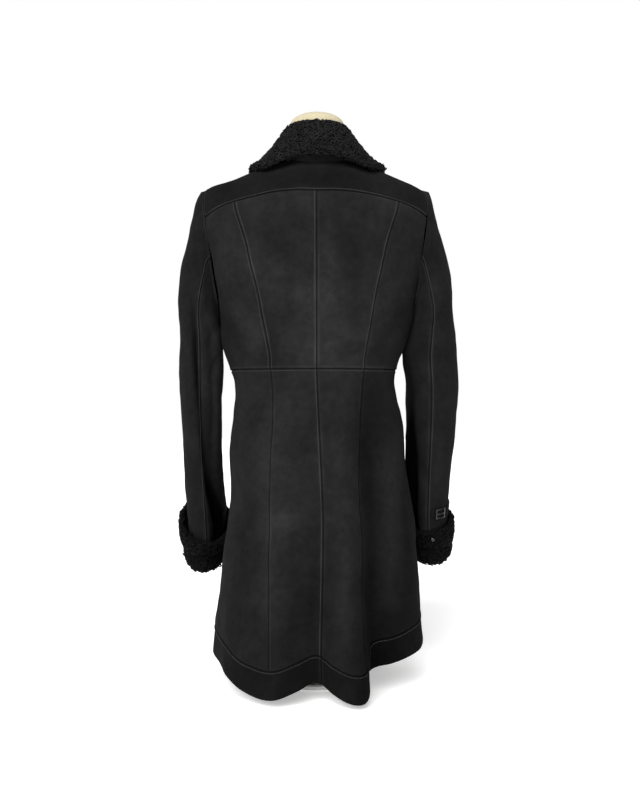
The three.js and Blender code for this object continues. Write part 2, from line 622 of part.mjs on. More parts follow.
function sleeveSurface(side) {
  const sign = side === "left" ? 1 : -1;
  const rows = SLEEVE[side];
  const last = rows.length - 1;
  const place = rows.map((row, index) => ({ ...row, index }));
  const columns = ["outX", "outZ", "inX", "inZ", "midY", "half", "dip"];
  const at = Object.fromEntries(columns.map((column) => [column, track(place, "index", column)]));
  const ring = (turn, step) => {
    const [outX, outZ, inX, inZ] = [at.outX(step), at.outZ(step), at.inX(step), at.inZ(step)];
    const along = (1 + Math.cos(rad(turn))) / 2;
    const lean = Math.sin(rad(turn));
    const x = lerp(inX, outX, along);
    const z = lerp(inZ, outZ, along) - at.dip(step) * lean;
    const y = at.midY(step) + at.half(step) * lean;
    return new THREE.Vector3(sign * x, y, z);
  };
  const folded = (turn, step) => {
    const point = ring(turn, step);
    const middle = ring(0, step).add(ring(180, step)).multiplyScalar(0.5);
    middle.y = at.midY(step);
    const away = point.clone().sub(middle).normalize();
    for (const fold of SLEEVE_FOLDS[side]) {
      const t = THREE.MathUtils.clamp((step / last - fold.from) / (fold.to - fold.from), 0, 1);
      const swell = Math.sin(Math.min(t * 1.35, 1) * Math.PI * 0.5);
      point.addScaledVector(away, fold.out * swell * Math.exp(-(((turn - fold.turn) / fold.wide) ** 2)));
    }
    return point;
  };
  // Step -1 is the armhole itself, just outside the body's own edge
  return (turn, step) => {
    if (step >= 0) return folded(turn, step);
    const [angle, z] = armholePlace(side, turn);
    return bodyPoint(angle, z).lerp(folded(turn, 0), 1 + step);
  };
}

const SLEEVE_SEAM = { back: 98, under: 262 }; // where the top and under sleeve are joined, as armhole turns
function sleeve(side) {
  const surface = sleeveSurface(side);
  const last = SLEEVE[side].length - 1;
  const steps = SLEEVE[side].map((row, index) => index);
  const halves = [
    { name: `sleeve_top_${side}`, from: SLEEVE_SEAM.under - 360, to: SLEEVE_SEAM.back, count: 13 },
    { name: `sleeve_under_${side}`, from: SLEEVE_SEAM.back, to: SLEEVE_SEAM.under, count: 11 },
  ];
  for (const { name, from, to, count } of halves) {
    // Seen from outside, turns run to the right on the left sleeve and to the left on the right one
    const turnAt = (u) => (side === "left" ? lerp(from, to, u) : lerp(to, from, u));
    const wall = (u, v) => {
      const step = lerp(last, -0.93, v);
      const turn = turnAt(u);
      return surface(turn < 0 ? turn + 360 : turn, step);
    };
    const rows = [...steps].reverse().map((step) => (last - step) / (last + 0.93));
    piece(name, clothWall(wall, evenly(count), [...rows, 1]), MATERIALS.suede);
  }
}

// Turned-up cuffs: out of the sleeve's end, round a soft roll, and back up outside the sleeve
function cuffSurface(side) {
  const sign = side === "left" ? 1 : -1;
  const end = SLEEVE[side][SLEEVE[side].length - 1];
  const middleOf = (row) => ({
    x: (row.outX + row.inX) / 2,
    y: row.midY,
    z: row.z ?? (row.outZ + row.inZ) / 2,
    halfX: (row.outX - row.inX) / 2 - TURNED_SKIN / 2,
    halfY: row.half - TURNED_SKIN / 2,
    dip: row.dip,
    lean: row.lean ?? 0,
  });
  const wrist = middleOf(end);
  const [low, mid, top] = CUFF[side].map(middleOf);
  const shrink = (row, by, down) => {
    return { ...row, halfX: row.halfX - by, halfY: row.halfY - by, z: row.z - down };
  };
  const halfway = (a, b) => Object.fromEntries(Object.keys(a).map((key) => [key, (a[key] + b[key]) / 2]));
  // Rings of the wall's middle, from inside the sleeve's end round the roll to the free top edge
  const rings = [
    shrink(wrist, 0, CUFF_TUCK[side]),
    shrink(wrist, 0, 12),
    { ...shrink(low, 13, 10), t: 0 },
    shrink(low, 6, 17),
    shrink(low, 1.5, 13),
    shrink(low, 0, 3),
    shrink(low, -1.5, -9),
    mid,
    halfway(mid, top),
    top,
  ].map((ring, index) => ({ ...ring, index }));
  const columns = ["x", "y", "z", "halfX", "halfY", "dip", "lean"];
  const at = Object.fromEntries(columns.map((column) => [column, track(rings, "index", column)]));
  const middle = (turn, k) => {
    const [c, s] = [Math.cos(rad(turn)), Math.sin(rad(turn))];
    const z = at.z(k) + at.lean(k) * c - at.dip(k) * s;
    return new THREE.Vector3(sign * (at.x(k) + at.halfX(k) * c), at.y(k) + at.halfY(k) * s, z);
  };
  const turnAt = (u) => (side === "left" ? 360 * u : -360 * u);
  const wall = (u, v) => middle(turnAt(u), v * (rings.length - 1));
  return (u, v) => wall(u, v).addScaledVector(outward(wall, u, v).out, TURNED_SKIN / 2);
}

function cuff(side) {
  const surface = cuffSurface(side);
  const wall = clothWall(surface, evenly(20), evenly(12), { thick: TURNED_SKIN, around: true });
  piece(`cuff_${side}`, wall, MATERIALS.wool);
}

// Collar: two halves joined behind, each standing up from the neck seam and folding down again
function collar(side) {
  const sign = side === "left" ? 1 : -1;
  const columns = ["foldX", "foldY", "foldZ", "edgeX", "edgeY", "edgeZ", "swell"];
  const next = COLLAR[1];
  const mirrored = { ...next, turn: -next.turn, foldX: -next.foldX, edgeX: -next.edgeX };
  const rows = [mirrored, ...COLLAR];
  const at = Object.fromEntries(columns.map((column) => [column, track(rows, "turn", column)]));
  const lastTurn = COLLAR[COLLAR.length - 1].turn;
  const middle = (turn, v) => {
    const rim = bodyPoint(90 - turn, neckZ(90 - turn));
    const neck = new THREE.Vector3(rim.x, rim.y, 0).normalize().multiplyScalar(-SKIN / 2).add(rim);
    const fold = new THREE.Vector3(at.foldX(turn), at.foldY(turn), at.foldZ(turn));
    const edge = new THREE.Vector3(at.edgeX(turn), at.edgeY(turn), at.edgeZ(turn));
    const away = edge.clone().sub(neck).setZ(0).normalize();
    const roll = 8;
    const standTop = fold.clone().addScaledVector(away, -roll * 0.8).setZ(fold.z - roll * 0.9);
    const stand = standTop.clone().sub(neck);
    const lean = Math.hypot(stand.x, stand.y) / stand.length();
    neck.z += 2 * SEAM_GAP + (lean * TURNED_SKIN) / 2;
    const leafTop = fold.clone().addScaledVector(away, roll * 1.05).setZ(fold.z - roll * 0.8);
    const leafMiddle = leafTop.clone().lerp(edge, 0.5).addScaledVector(away, at.swell(turn));
    leafMiddle.z += at.swell(turn) * 0.8;
    const path = [neck, standTop, fold, leafTop, leafMiddle, edge];
    const reach = v * (path.length - 1);
    const i = THREE.MathUtils.clamp(Math.floor(reach), 0, path.length - 2);
    const before = i === 0 ? path[0].clone().multiplyScalar(2).sub(path[1]) : path[i - 1];
    const after = path[i + 2] ?? path[i + 1].clone().multiplyScalar(2).sub(path[i]);
    const bend = (k) => curve(before[k], path[i][k], path[i + 1][k], after[k], reach - i);
    return new THREE.Vector3(sign * bend("x"), bend("y"), bend("z"));
  };
  const wall = (u, v) => middle(side === "left" ? u * lastTurn : (1 - u) * lastTurn, v);
  const surface = (u, v) => wall(u, v).addScaledVector(outward(wall, u, v).out, TURNED_SKIN / 2);
  const geometry = clothWall(surface, evenly(12), evenly(10), { thick: TURNED_SKIN });
  keepClear(geometry, sign);
  piece(`collar_${side}`, geometry, MATERIALS.wool);
}

// Keeps a half clear of the seam at the middle of the back
function keepClear(geometry, sign) {
  const { array } = geometry.attributes.position;
  for (let i = 0; i < array.length; i += 3) {
    if (array[i + 1] > 0 && sign * array[i] < SEAM_GAP / 2) array[i] = sign * (SEAM_GAP / 2);
  }
}

function curve(a, b, c, d, t) {
  const square = 2 * a - 5 * b + 4 * c - d;
  const cube = 3 * b - a - 3 * c + d;
  return 0.5 * (2 * b + (c - a) * t + square * t * t + cube * t * t * t);
}

// A closed body from rings of points, closed by a middle point below and above
function stack(ringPoint, ringCount, turns) {
  const points = [];
  for (let k = 0; k < ringCount; k += 1) {
    for (let i = 0; i < turns; i += 1) points.push(ringPoint(k, (360 * i) / turns));
  }
  const middleOf = (k) => {
    const sum = new THREE.Vector3();
    for (let i = 0; i < turns; i += 1) sum.add(points[k * turns + i]);
    return sum.divideScalar(turns);
  };
  const [bottom, top] = [points.length, points.length + 1];
  points.push(middleOf(0), middleOf(ringCount - 1));
  const faces = [];
  for (let i = 0; i < turns; i += 1) {
    const next = (i + 1) % turns;
    for (let k = 0; k < ringCount - 1; k += 1) {
      const [a, b] = [k * turns + i, k * turns + next];
      faces.push(a, b, b + turns, a, b + turns, a + turns);
    }
    const last = (ringCount - 1) * turns;
    faces.push(bottom, next, i, top, last + i, last + next);
  }
  return solid(points, faces);
}

// A turned body from radius and height steps
function turned(steps, turns, y = 0) {
  return stack((k, turn) => {
    const [radius, z] = steps[k];
    return new THREE.Vector3(radius * Math.cos(rad(turn)), y + radius * Math.sin(rad(turn)), z);
  }, steps.length, turns);
}

// How far the dress form lies inside the coat's outer face: close at the shoulders, freer below
const CLEARANCE = [
  { z: 318, in: 26 },
  { z: 380, in: 21 },
  { z: 450, in: 15 },
  { z: 540, in: 12 },
  { z: 640, in: 11.5 },
  { z: 740, in: 9 },
  { z: 800, in: 8 },
  { z: 848, in: 12.5 },
  { z: 862, in: 9.2 },
  { z: 905, in: 7.6 },
];
const underFronts = (turn) => 7 * Math.exp(-(((turn - 270) / 38) ** 4));
function dressForm() {
  const inside = track(CLEARANCE, "z", "in");
  const below = [330, 370, 410, 450, 495, 540, 575, 610, 650, 690, 730, 765];
  const heights = [...below, 795, 818, 835, 847, 856, 864, 872, 881, 890];
  const low = heights[0];
  const rings = [
    (turn) => bodyInside(turn, low, inside(low) + 34).setZ(FORM.lowZ),
    (turn) => bodyInside(turn, low, inside(low) + 12).setZ(FORM.lowZ + 3),
    ...heights.map((z) => (turn) => bodyInside(turn, z, inside(z) + underFronts(turn))),
    ...[898, 910, 930, FORM.neckJoinZ].map((z, k) => (turn) => {
      const radius = FORM.neckRadius + [3.5, 1, 0, 0][k];
      return new THREE.Vector3(radius * Math.cos(rad(turn)), radius * Math.sin(rad(turn)), z);
    }),
  ];
  piece("form_torso", stack((k, turn) => rings[k](turn), rings.length, FORM.turns), MATERIALS.linen);
  const dome = [0, 18, 36, 54, 72, 86].map((lift) => {
    const base = FORM.neckJoinZ + SEAM_GAP + 20;
    const rise = FORM.capTop - base;
    return [FORM.neckRadius * Math.cos(rad(lift)), base + rise * Math.sin(rad(lift))];
  });
  const cap = [[FORM.neckRadius, FORM.neckJoinZ + SEAM_GAP], ...dome];
  piece("form_neck_cap", turned(cap, FORM.turns), MATERIALS.linen);
  const { footY, footRadius, footThick, hubRadius, hubTop, poleRadius } = STAND;
  const plate = [[footRadius - 1, 0], [footRadius, 1], [footRadius, footThick - 2]];
  const fillet = [[footRadius - 2, footThick], [hubRadius + 8, footThick], [hubRadius, footThick + 6]];
  const hub = [[hubRadius, hubTop - 2], [hubRadius - 2, hubTop]];
  piece("stand_foot", turned([...plate, ...fillet, ...hub], 36, footY), MATERIALS.steel);
  const pole = [[poleRadius, hubTop + SEAM_GAP], [poleRadius, FORM.lowZ - SEAM_GAP]];
  piece("stand_pole", turned(pole, 24, footY), MATERIALS.steel);
}

// Domed buttons down the front, each following the panel under it
function buttons() {
  const { radius, thick, heights } = BUTTON;
  heights.forEach((z, index) => {
    const { out } = outward(bodyPoint, 270, z);
    const profile = [[1, 0], [1, 0.5], [0.86, 0.9], [0.45, 1]];
    const ring = (k, turn) => {
      const [share, lift] = profile[k];
      const [dx, dz] = [radius * share * Math.cos(rad(turn)), radius * share * Math.sin(rad(turn))];
      const angle = 270 + deg(Math.atan2(dx, sizes.front(z)));
      return bodyPoint(angle, z + dz).addScaledVector(out, 0.5 + thick * lift);
    };
    piece(`button_${index + 1}`, stack(ring, profile.length, 20), MATERIALS.horn);
  });
}

// A flat cut shape bent over a surface: x runs round, y up, and its thickness out from a lift
function bentOn(surfaceAt, shape, lift, thick) {
  const geometry = new THREE.ExtrudeGeometry(shape, { depth: thick, bevelEnabled: false, steps: 1 });
  geometry.deleteAttribute("normal");
  geometry.deleteAttribute("uv");
  const { array } = geometry.attributes.position;
  for (let i = 0; i < array.length; i += 3) {
    const point = surfaceAt(array[i], array[i + 1], lift + array[i + 2]);
    [array[i], array[i + 1], array[i + 2]] = point.toArray();
  }
  return geometry;
}

// A rectangle's outline, with its long sides in several lengths so that they can bend
function box(width, height, lengths = 4) {
  const along = evenly(lengths).map((t) => (t - 0.5) * width);
  const lower = along.map((x) => new THREE.Vector2(x, -height / 2));
  const upper = [...along].reverse().map((x) => new THREE.Vector2(x, height / 2));
  return [...lower, ...upper];
}

// Strap, buckle and keeper on the right sleeve, and the stud on its cuff
function cuffStrap() {
  const cloth = sleeveSurface("right");
  const inForearm = new THREE.Vector3(-200, -60, 290);
  const raised = (turn, step, lift) => {
    const [point, { out }] = [cloth(turn, step), outward(cloth, turn, step)];
    const facing = Math.sign(out.dot(point.clone().sub(inForearm)));
    return point.addScaledVector(out, facing * lift);
  };
  const stepLength = cloth(60, STRAP.step + 0.5).distanceTo(cloth(60, STRAP.step - 0.5));
  const onSleeve = (atTurn) => (x, y, lift) => {
    const perTurn = cloth(atTurn + 1, STRAP.step).distanceTo(cloth(atTurn - 1, STRAP.step)) / 2;
    return raised(atTurn - x / perTurn, STRAP.step - y / stepLength, lift);
  };
  const band = (u, v) => {
    const step = STRAP.step + ((0.5 - v) * STRAP.width) / stepLength;
    return raised(lerp(STRAP.toTurn, STRAP.fromTurn, u), step, 0.45 + STRAP.thick);
  };
  const leather = clothWall(band, evenly(16), evenly(1), { thick: STRAP.thick, trim: 0 });
  piece("cuff_strap", leather, MATERIALS.suede);
  const frame = new THREE.Shape(box(BUCKLE.length, BUCKLE.width));
  const insideFrame = box(BUCKLE.length - 2 * BUCKLE.bar, BUCKLE.width - 2 * BUCKLE.bar);
  frame.holes.push(new THREE.Path(insideFrame.reverse()));
  const over = 0.45 + STRAP.thick + 0.4;
  piece("strap_buckle", bentOn(onSleeve(BUCKLE.turn), frame, over, BUCKLE.thick), MATERIALS.gunmetal);
  const prong = new THREE.Shape(box(BUCKLE.length - 2 * BUCKLE.bar - 0.6, BUCKLE.bar));
  const prongBody = bentOn(onSleeve(BUCKLE.turn), prong, over + 0.7, BUCKLE.thick * 0.8);
  piece("buckle_prong", prongBody, MATERIALS.gunmetal);
  const loop = new THREE.Shape(box(KEEPER.length, KEEPER.width));
  piece("strap_keeper", bentOn(onSleeve(KEEPER.turn), loop, over, KEEPER.thick), MATERIALS.suede);
  const cuffFace = cuffSurface("right");
  const seat = { u: 1 - STUD.turn / 360, v: 0.93 };
  const { across, out } = outward(cuffFace, seat.u, seat.v);
  const profile = [[1, 0], [1, 0.35], [0.7, 0.8], [0.3, 1]];
  const middle = cuffFace(seat.u, seat.v);
  const ring = (k, turn) => {
    const [share, lift] = profile[k];
    return middle.clone()
      .addScaledVector(across, STUD.radius * share * Math.cos(rad(turn)))
      .addScaledVector(out.clone().cross(across), STUD.radius * share * Math.sin(rad(turn)))
      .addScaledVector(out, 1.5 + STUD.thick * lift);
  };
  piece("cuff_stud", stack(ring, profile.length, 16), MATERIALS.gunmetal);
}

backBodice();
yoke();
frontBodice("left");
frontBodice("right");
skirt();
hemStrips();
for (const side of ["left", "right"]) {
  sleeve(side);
  cuff(side);
  collar(side);
}
cuffStrap();
buttons();
dressForm();
for (const mesh of coat.children) mesh.geometry.translate(-CENTRE.x, -CENTRE.y, 0);

export default coat;
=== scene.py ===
import math

import bpy
import numpy as np
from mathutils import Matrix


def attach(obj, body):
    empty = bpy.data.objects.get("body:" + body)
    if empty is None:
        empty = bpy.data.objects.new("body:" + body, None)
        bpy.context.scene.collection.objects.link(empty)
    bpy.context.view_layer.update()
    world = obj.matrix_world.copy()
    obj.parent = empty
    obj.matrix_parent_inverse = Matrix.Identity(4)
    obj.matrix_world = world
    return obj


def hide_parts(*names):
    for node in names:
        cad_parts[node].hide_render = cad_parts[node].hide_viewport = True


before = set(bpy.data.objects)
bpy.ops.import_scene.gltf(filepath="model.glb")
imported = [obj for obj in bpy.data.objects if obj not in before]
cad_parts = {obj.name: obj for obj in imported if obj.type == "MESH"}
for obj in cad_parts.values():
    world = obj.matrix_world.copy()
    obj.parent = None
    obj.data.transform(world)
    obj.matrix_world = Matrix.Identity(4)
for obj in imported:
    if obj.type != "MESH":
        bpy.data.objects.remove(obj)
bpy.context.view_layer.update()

# Camera: level, behind the coat, 1.9 m from the middle of its neck and at the height of its hips, so that
# the hem is seen from a little above and the collar from a little below.
NECK_AXIS = (-0.0007, -0.014)  # where the line through the middle of the neck stands on the floor
VIEW_DISTANCE = 1.9
VIEW_HEIGHT = 0.48
SEEN_HEIGHT = 1.421  # how much of an upright plane through the neck the picture takes in
SEEN_OFFSET = -0.00525  # the neck stands a little left of the picture's middle

camera = bpy.data.objects.new("camera", bpy.data.cameras.new("camera"))
bpy.context.collection.objects.link(camera)
camera.data.sensor_fit = "VERTICAL"
camera.data.angle_y = 2 * math.atan(SEEN_HEIGHT / 2 / VIEW_DISTANCE)
camera.location = (NECK_AXIS[0] + SEEN_OFFSET, NECK_AXIS[1] + VIEW_DISTANCE, VIEW_HEIGHT)
camera.rotation_euler = (math.pi / 2, 0, math.pi)
bpy.context.scene.camera = camera

# Studio: a white paper floor that glows a little, a painted light that thins the coat's shadow on it, and
# runs on into a white tent, a broad soft key light over the viewer's left shoulder and a weaker one high on
# the other side. The tent is white to look at but lights little.
TENT_LIGHT = 0.12
SKY_LIGHTS = [
    # name, direction round from +X, height above the floor (both in degrees), strength, softness
    ("key light", 76, 33, 4.6, 40),
    ("top light", 262, 64, 0.8, 70),
]

scene = bpy.context.scene
scene.view_settings.view_transform = "Standard"
world = bpy.data.worlds.new("white tent")
scene.world = world
world.use_nodes = True
tent_nodes, tent_links = world.node_tree.nodes, world.node_tree.links
tent = tent_nodes["Background"]
tent.inputs["Color"].default_value = (1, 1, 1, 1)
tent.inputs["Strength"].default_value = TENT_LIGHT
tent_seen = tent_nodes.new("ShaderNodeBackground")
tent_seen.inputs["Color"].default_value = (1, 1, 1, 1)
straight_look = tent_nodes.new("ShaderNodeLightPath")
tent_mix = tent_nodes.new("ShaderNodeMixShader")
tent_links.new(straight_look.outputs["Is Camera Ray"], tent_mix.inputs["Fac"])
tent_links.new(tent.outputs["Background"], tent_mix.inputs[1])
tent_links.new(tent_seen.outputs["Background"], tent_mix.inputs[2])
tent_links.new(tent_mix.outputs["Shader"], tent_nodes["World Output"].inputs["Surface"])

for name, round_from_x, height, strength, softness in SKY_LIGHTS:
    light = bpy.data.objects.new(name, bpy.data.lights.new(name, "SUN"))
    bpy.context.collection.objects.link(light)
    light.data.energy = strength
    light.data.angle = math.radians(softness)
    light.rotation_euler = (math.radians(90 - height), 0, math.radians(round_from_x + 90))


def set_inputs(tree, node, inputs):
    """Gives each input of a node its value, or links it from another node's output."""
    for key, value in inputs.items():
        if isinstance(value, bpy.types.NodeSocket):
            tree.links.new(value, node.inputs[key])
        else:
            node.inputs[key].default_value = value


def new_material(name):
    """A material whose look is made by nodes: returns it, its node tree and its shader."""
    material = bpy.data.materials.new(name)
    material.use_nodes = True
    return material, material.node_tree, material.node_tree.nodes["Principled BSDF"]


def texture(tree, kind, scale, **inputs):
    """A texture fixed to the object's own place, with so many repeats to the metre."""
    place = tree.nodes.new("ShaderNodeTexCoord")
    pattern = tree.nodes.new("ShaderNodeTex" + kind)
    set_inputs(tree, pattern, {"Vector": place.outputs["Object"], "Scale": scale, **inputs})
    return pattern


def noise(tree, scale, detail=2.0, rough=0.5):
    """Cloudy noise, as a value from 0 to 1."""
    return texture(tree, "Noise", scale, Detail=detail, Roughness=rough).outputs["Fac"]


def colour_steps(tree, value, steps):
    """Turns a value into colours, from (value, colour) steps."""
    ramp = tree.nodes.new("ShaderNodeValToRGB")
    while len(ramp.color_ramp.elements) < len(steps):
        ramp.color_ramp.elements.new(0.5)
    for element, (at, colour) in zip(ramp.color_ramp.elements, steps):
        element.position = at
        element.color = (*colour, 1)
    set_inputs(tree, ramp, {"Fac": value})
    return ramp.outputs["Color"]


def bump(tree, height, depth, strength, over=None):
    """The normal of a surface raised by a height from 0 to 1, times a depth in metres."""
    raised = tree.nodes.new("ShaderNodeBump")
    set_inputs(tree, raised, {"Height": height, "Distance": depth, "Strength": strength})
    if over is not None:
        set_inputs(tree, raised, {"Normal": over})
    return raised.outputs["Normal"]


def cloudy_material(name, clouds, steps, looks, relief=None):
    """A material coloured by noise (scale, detail) and, if wanted, raised by it (depth, strength)."""
    material, tree, shader = new_material(name)
    cloud = noise(tree, *clouds)
    set_inputs(tree, shader, {"Base Color": colour_steps(tree, cloud, steps), **looks})
    if relief:
        set_inputs(tree, shader, {"Normal": bump(tree, cloud, *relief)})
    return material


FLOOR_GLOW = 0.42  # the paper glows: painted light that thins the shadow under the coat
FLOOR_REACH = 14
corners = [(x * FLOOR_REACH, y * FLOOR_REACH, 0) for x, y in ((-1, -1), (1, -1), (1, 1), (-1, 1))]
floor_mesh = bpy.data.meshes.new("floor")
floor_mesh.from_pydata(corners, [], [(0, 1, 2, 3)])
floor = bpy.data.objects.new("floor", floor_mesh)
bpy.context.collection.objects.link(floor)
floor_mesh.materials.append(cloudy_material(
    "floor_paper", (60,), [(0.3, (0.93, 0.93, 0.925)), (0.7, (0.95, 0.95, 0.945))],
    {
        "Roughness": 0.9, "Specular IOR Level": 0.1,
        "Emission Color": (1, 1, 1, 1), "Emission Strength": FLOOR_GLOW,
    },
))

# Dress form and stand: a padded torso without limbs in smooth cream cotton, its neck closed by a domed cap
# of the same cloth, on a thin powder-coated pole and a small heavy foot that the skirt hides.
COTTON = {"light": (0.5, 0.445, 0.295), "dark": (0.47, 0.415, 0.27)}
COTTON_THREADS = 1400  # threads to the metre


def arithmetic(tree, operation, *values):
    """The outcome of one operation on numbers or outputs."""
    node = tree.nodes.new("ShaderNodeMath")
    node.operation = operation
    set_inputs(tree, node, dict(enumerate(values)))
    return node.outputs[0]


def cream_cotton():
    """Smooth cotton in a plain weave."""
    steps = [(0.3, COTTON["dark"]), (0.7, COTTON["light"])]
    material = cloudy_material("cream_cotton", (30, 3), steps, {"Roughness": 0.85, "Sheen Weight": 0.15})
    tree = material.node_tree
    threads = []
    for direction in ("X", "Z"):
        thread = texture(tree, "Wave", COTTON_THREADS / 6.28)
        thread.bands_direction = direction
        threads.append(thread.outputs["Fac"])
    weave = bump(tree, arithmetic(tree, "MAXIMUM", *threads), depth=0.0001, strength=0.15)
    set_inputs(tree, tree.nodes["Principled BSDF"], {"Normal": weave})
    return material


def finish_node(name, material, smooth=0, bevel=0.0):
    """Gives a solid that stays as it is its material and, where it is round, smoother faces."""
    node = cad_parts[name]
    if not node.material_slots:
        node.data.materials.append(material)
    for slot in node.material_slots:
        slot.material = material
    joined = node.modifiers.new("joined corners", "WELD")
    joined.merge_threshold = 0.00002
    if bevel:
        rounding = node.modifiers.new("rounded edges", "BEVEL")
        rounding.width = bevel
        rounding.segments = 2
        rounding.limit_method = "ANGLE"
        rounding.angle_limit = math.radians(40)
    if smooth:
        rounding = node.modifiers.new("smooth", "SUBSURF")
        rounding.levels = smooth
        rounding.render_levels = smooth


cotton = cream_cotton()
for name in ("form_torso", "form_neck_cap"):
    finish_node(name, cotton, smooth=2)
powder_coat = cloudy_material(
    "powder_coat", (900, 1), [(0.35, (0.84, 0.84, 0.82)), (0.65, (0.88, 0.88, 0.86))],
    {"Roughness": 0.5}, relief=(0.0001, 0.4),
)
for name in ("stand_pole", "stand_foot"):
    finish_node(name, powder_coat)

# Shearling panels, from here down: sheepskin tanned with its wool on, worn suede side out and wool side
# in. The coat's outer face is one smooth form, given by level sections, with the skirt's flutes laid over it.
SKIN = 0.006  # suede and clipped wool together
SEAM_GAP = 0.0003
WAIST_Z = 0.542
BODY = np.array([
    # z, left, right, back, front, squareness
    (-0.03, 0.187, 0.187, 0.188, 0.174, 2.1),
    (0.071, 0.181, 0.182, 0.178, 0.164, 2.12),
    (0.141, 0.172, 0.178, 0.168, 0.156, 2.15),
    (0.211, 0.162, 0.172, 0.158, 0.149, 2.18),
    (0.263, 0.155, 0.17, 0.15, 0.143, 2.2),
    (0.316, 0.15, 0.165, 0.142, 0.136, 2.22),
    (0.351, 0.151, 0.16, 0.137, 0.132, 2.25),
    (0.386, 0.153, 0.154, 0.131, 0.127, 2.25),
    (0.421, 0.151, 0.151, 0.123, 0.121, 2.25),
    (0.456, 0.146, 0.147, 0.114, 0.115, 2.25),
    (0.491, 0.142, 0.1415, 0.106, 0.11, 2.25),
    (0.526, 0.1435, 0.1365, 0.1, 0.108, 2.25),
    (0.561, 0.155, 0.143, 0.099, 0.109, 2.3),
    (0.585, 0.163, 0.153, 0.102, 0.113, 2.35),
    (0.62, 0.1675, 0.1645, 0.108, 0.121, 2.4),
    (0.655, 0.171, 0.169, 0.113, 0.127, 2.45),
    (0.706, 0.183, 0.181, 0.119, 0.131, 2.5),
    (0.758, 0.193, 0.191, 0.118, 0.125, 2.5),
    (0.8, 0.198, 0.196, 0.112, 0.112, 2.5),
    (0.83, 0.198, 0.195, 0.103, 0.098, 2.45),
    (0.848, 0.195, 0.191, 0.095, 0.087, 2.4),
    (0.859, 0.187, 0.173, 0.088, 0.079, 2.35),
    (0.868, 0.16, 0.149, 0.082, 0.073, 2.3),
    (0.88, 0.128, 0.122, 0.074, 0.066, 2.2),
    (0.892, 0.1, 0.098, 0.065, 0.059, 2.1),
    (0.903, 0.074, 0.074, 0.056, 0.053, 2),
    (0.912, 0.062, 0.062, 0.05, 0.05, 2),
])
FLUTES = [
    # angle, out, width before, width after, height where it dies out
    (22, -0.007, 13, 13, 0.33),
    (46, 0.004, 12, 10, 0.38),
    (69, 0.012, 13, 11, 0.42),
    (90, -0.032, 9.5, 9.5, 0.33),
    (109, 0.021, 9, 7.5, 0.48),
    (127, -0.045, 8, 25, 0.51),
    (167, 0.009, 11, 14, 0.38),
    (205, -0.014, 11, 12, 0.38),
    (228, 0.011, 12, 12, 0.4),
    (251, -0.008, 11, 11, 0.32),
    (291, -0.009, 11, 11, 0.34),
    (313, 0.012, 12, 12, 0.4),
    (336, -0.013, 11, 11, 0.36),
]
SOFT_WAVES = [
    # length of the wave, its height, and its direction
    (0.21, 0.0011, (0.6, 0.3, 0.9)),
    (0.13, 0.0008, (-0.8, 0.5, 0.5)),
    (0.085, 0.0006, (0.3, -0.9, 0.7)),
    (0.055, 0.0004, (0.9, 0.2, -0.6)),
    (0.034, 0.00022, (-0.4, 0.6, 0.8)),
]
BODY_CREASES = {
    # x and z of its upper end, x and z of its lower end, height (a trough is negative), width
    "back": [
        (-0.042, 0.815, -0.050, 0.640, -0.0022, 0.017),
        (-0.008, 0.700, 0.003, 0.556, 0.0016, 0.018),
        (0.078, 0.640, 0.075, 0.535, -0.0020, 0.014),
        (0.040, 0.770, 0.046, 0.600, -0.0014, 0.012),
        (-0.096, 0.740, -0.088, 0.570, 0.0016, 0.016),
        (0.136, 0.760, 0.150, 0.640, 0.0022, 0.016),
        (0.166, 0.640, 0.118, 0.575, -0.0026, 0.013),
        (-0.148, 0.650, -0.108, 0.582, -0.0030, 0.012),
        (-0.128, 0.600, -0.092, 0.556, -0.0020, 0.009),
        (0.150, 0.600, 0.105, 0.553, -0.0016, 0.009),
        (-0.070, 0.535, -0.082, 0.270, -0.0034, 0.015),
        (-0.113, 0.530, -0.118, 0.230, 0.0030, 0.016),
        (0.020, 0.530, 0.012, 0.350, -0.0014, 0.013),
        (0.061, 0.510, 0.072, 0.170, 0.0024, 0.018),
        (0.105, 0.500, 0.122, 0.170, -0.0026, 0.016),
        (-0.030, 0.420, -0.050, 0.110, 0.0030, 0.017),
        (0.036, 0.300, 0.034, 0.080, -0.0026, 0.014),
        (0.150, 0.420, 0.165, 0.130, 0.0020, 0.014),
        (-0.150, 0.420, -0.160, 0.140, -0.0030, 0.014),
    ],
    "front": [
        (0.000, 0.535, 0.000, 0.390, 0.0017, 0.022),
        (0.000, 0.700, 0.000, 0.610, 0.0007, 0.020),
        (0.060, 0.790, 0.072, 0.600, -0.0020, 0.015),
        (-0.085, 0.780, -0.070, 0.590, 0.0020, 0.017),
        (0.110, 0.700, 0.098, 0.560, 0.0018, 0.016),
        (0.160, 0.650, 0.110, 0.585, -0.0028, 0.012),
        (-0.160, 0.655, -0.108, 0.590, -0.0028, 0.012),
        (-0.055, 0.535, -0.070, 0.280, -0.0030, 0.016),
        (0.085, 0.535, 0.100, 0.260, -0.0030, 0.016),
        (0.045, 0.520, 0.050, 0.200, 0.0024, 0.018),
        (-0.110, 0.520, -0.122, 0.180, 0.0026, 0.017),
        (0.130, 0.470, 0.150, 0.150, 0.0022, 0.015),
    ],
}
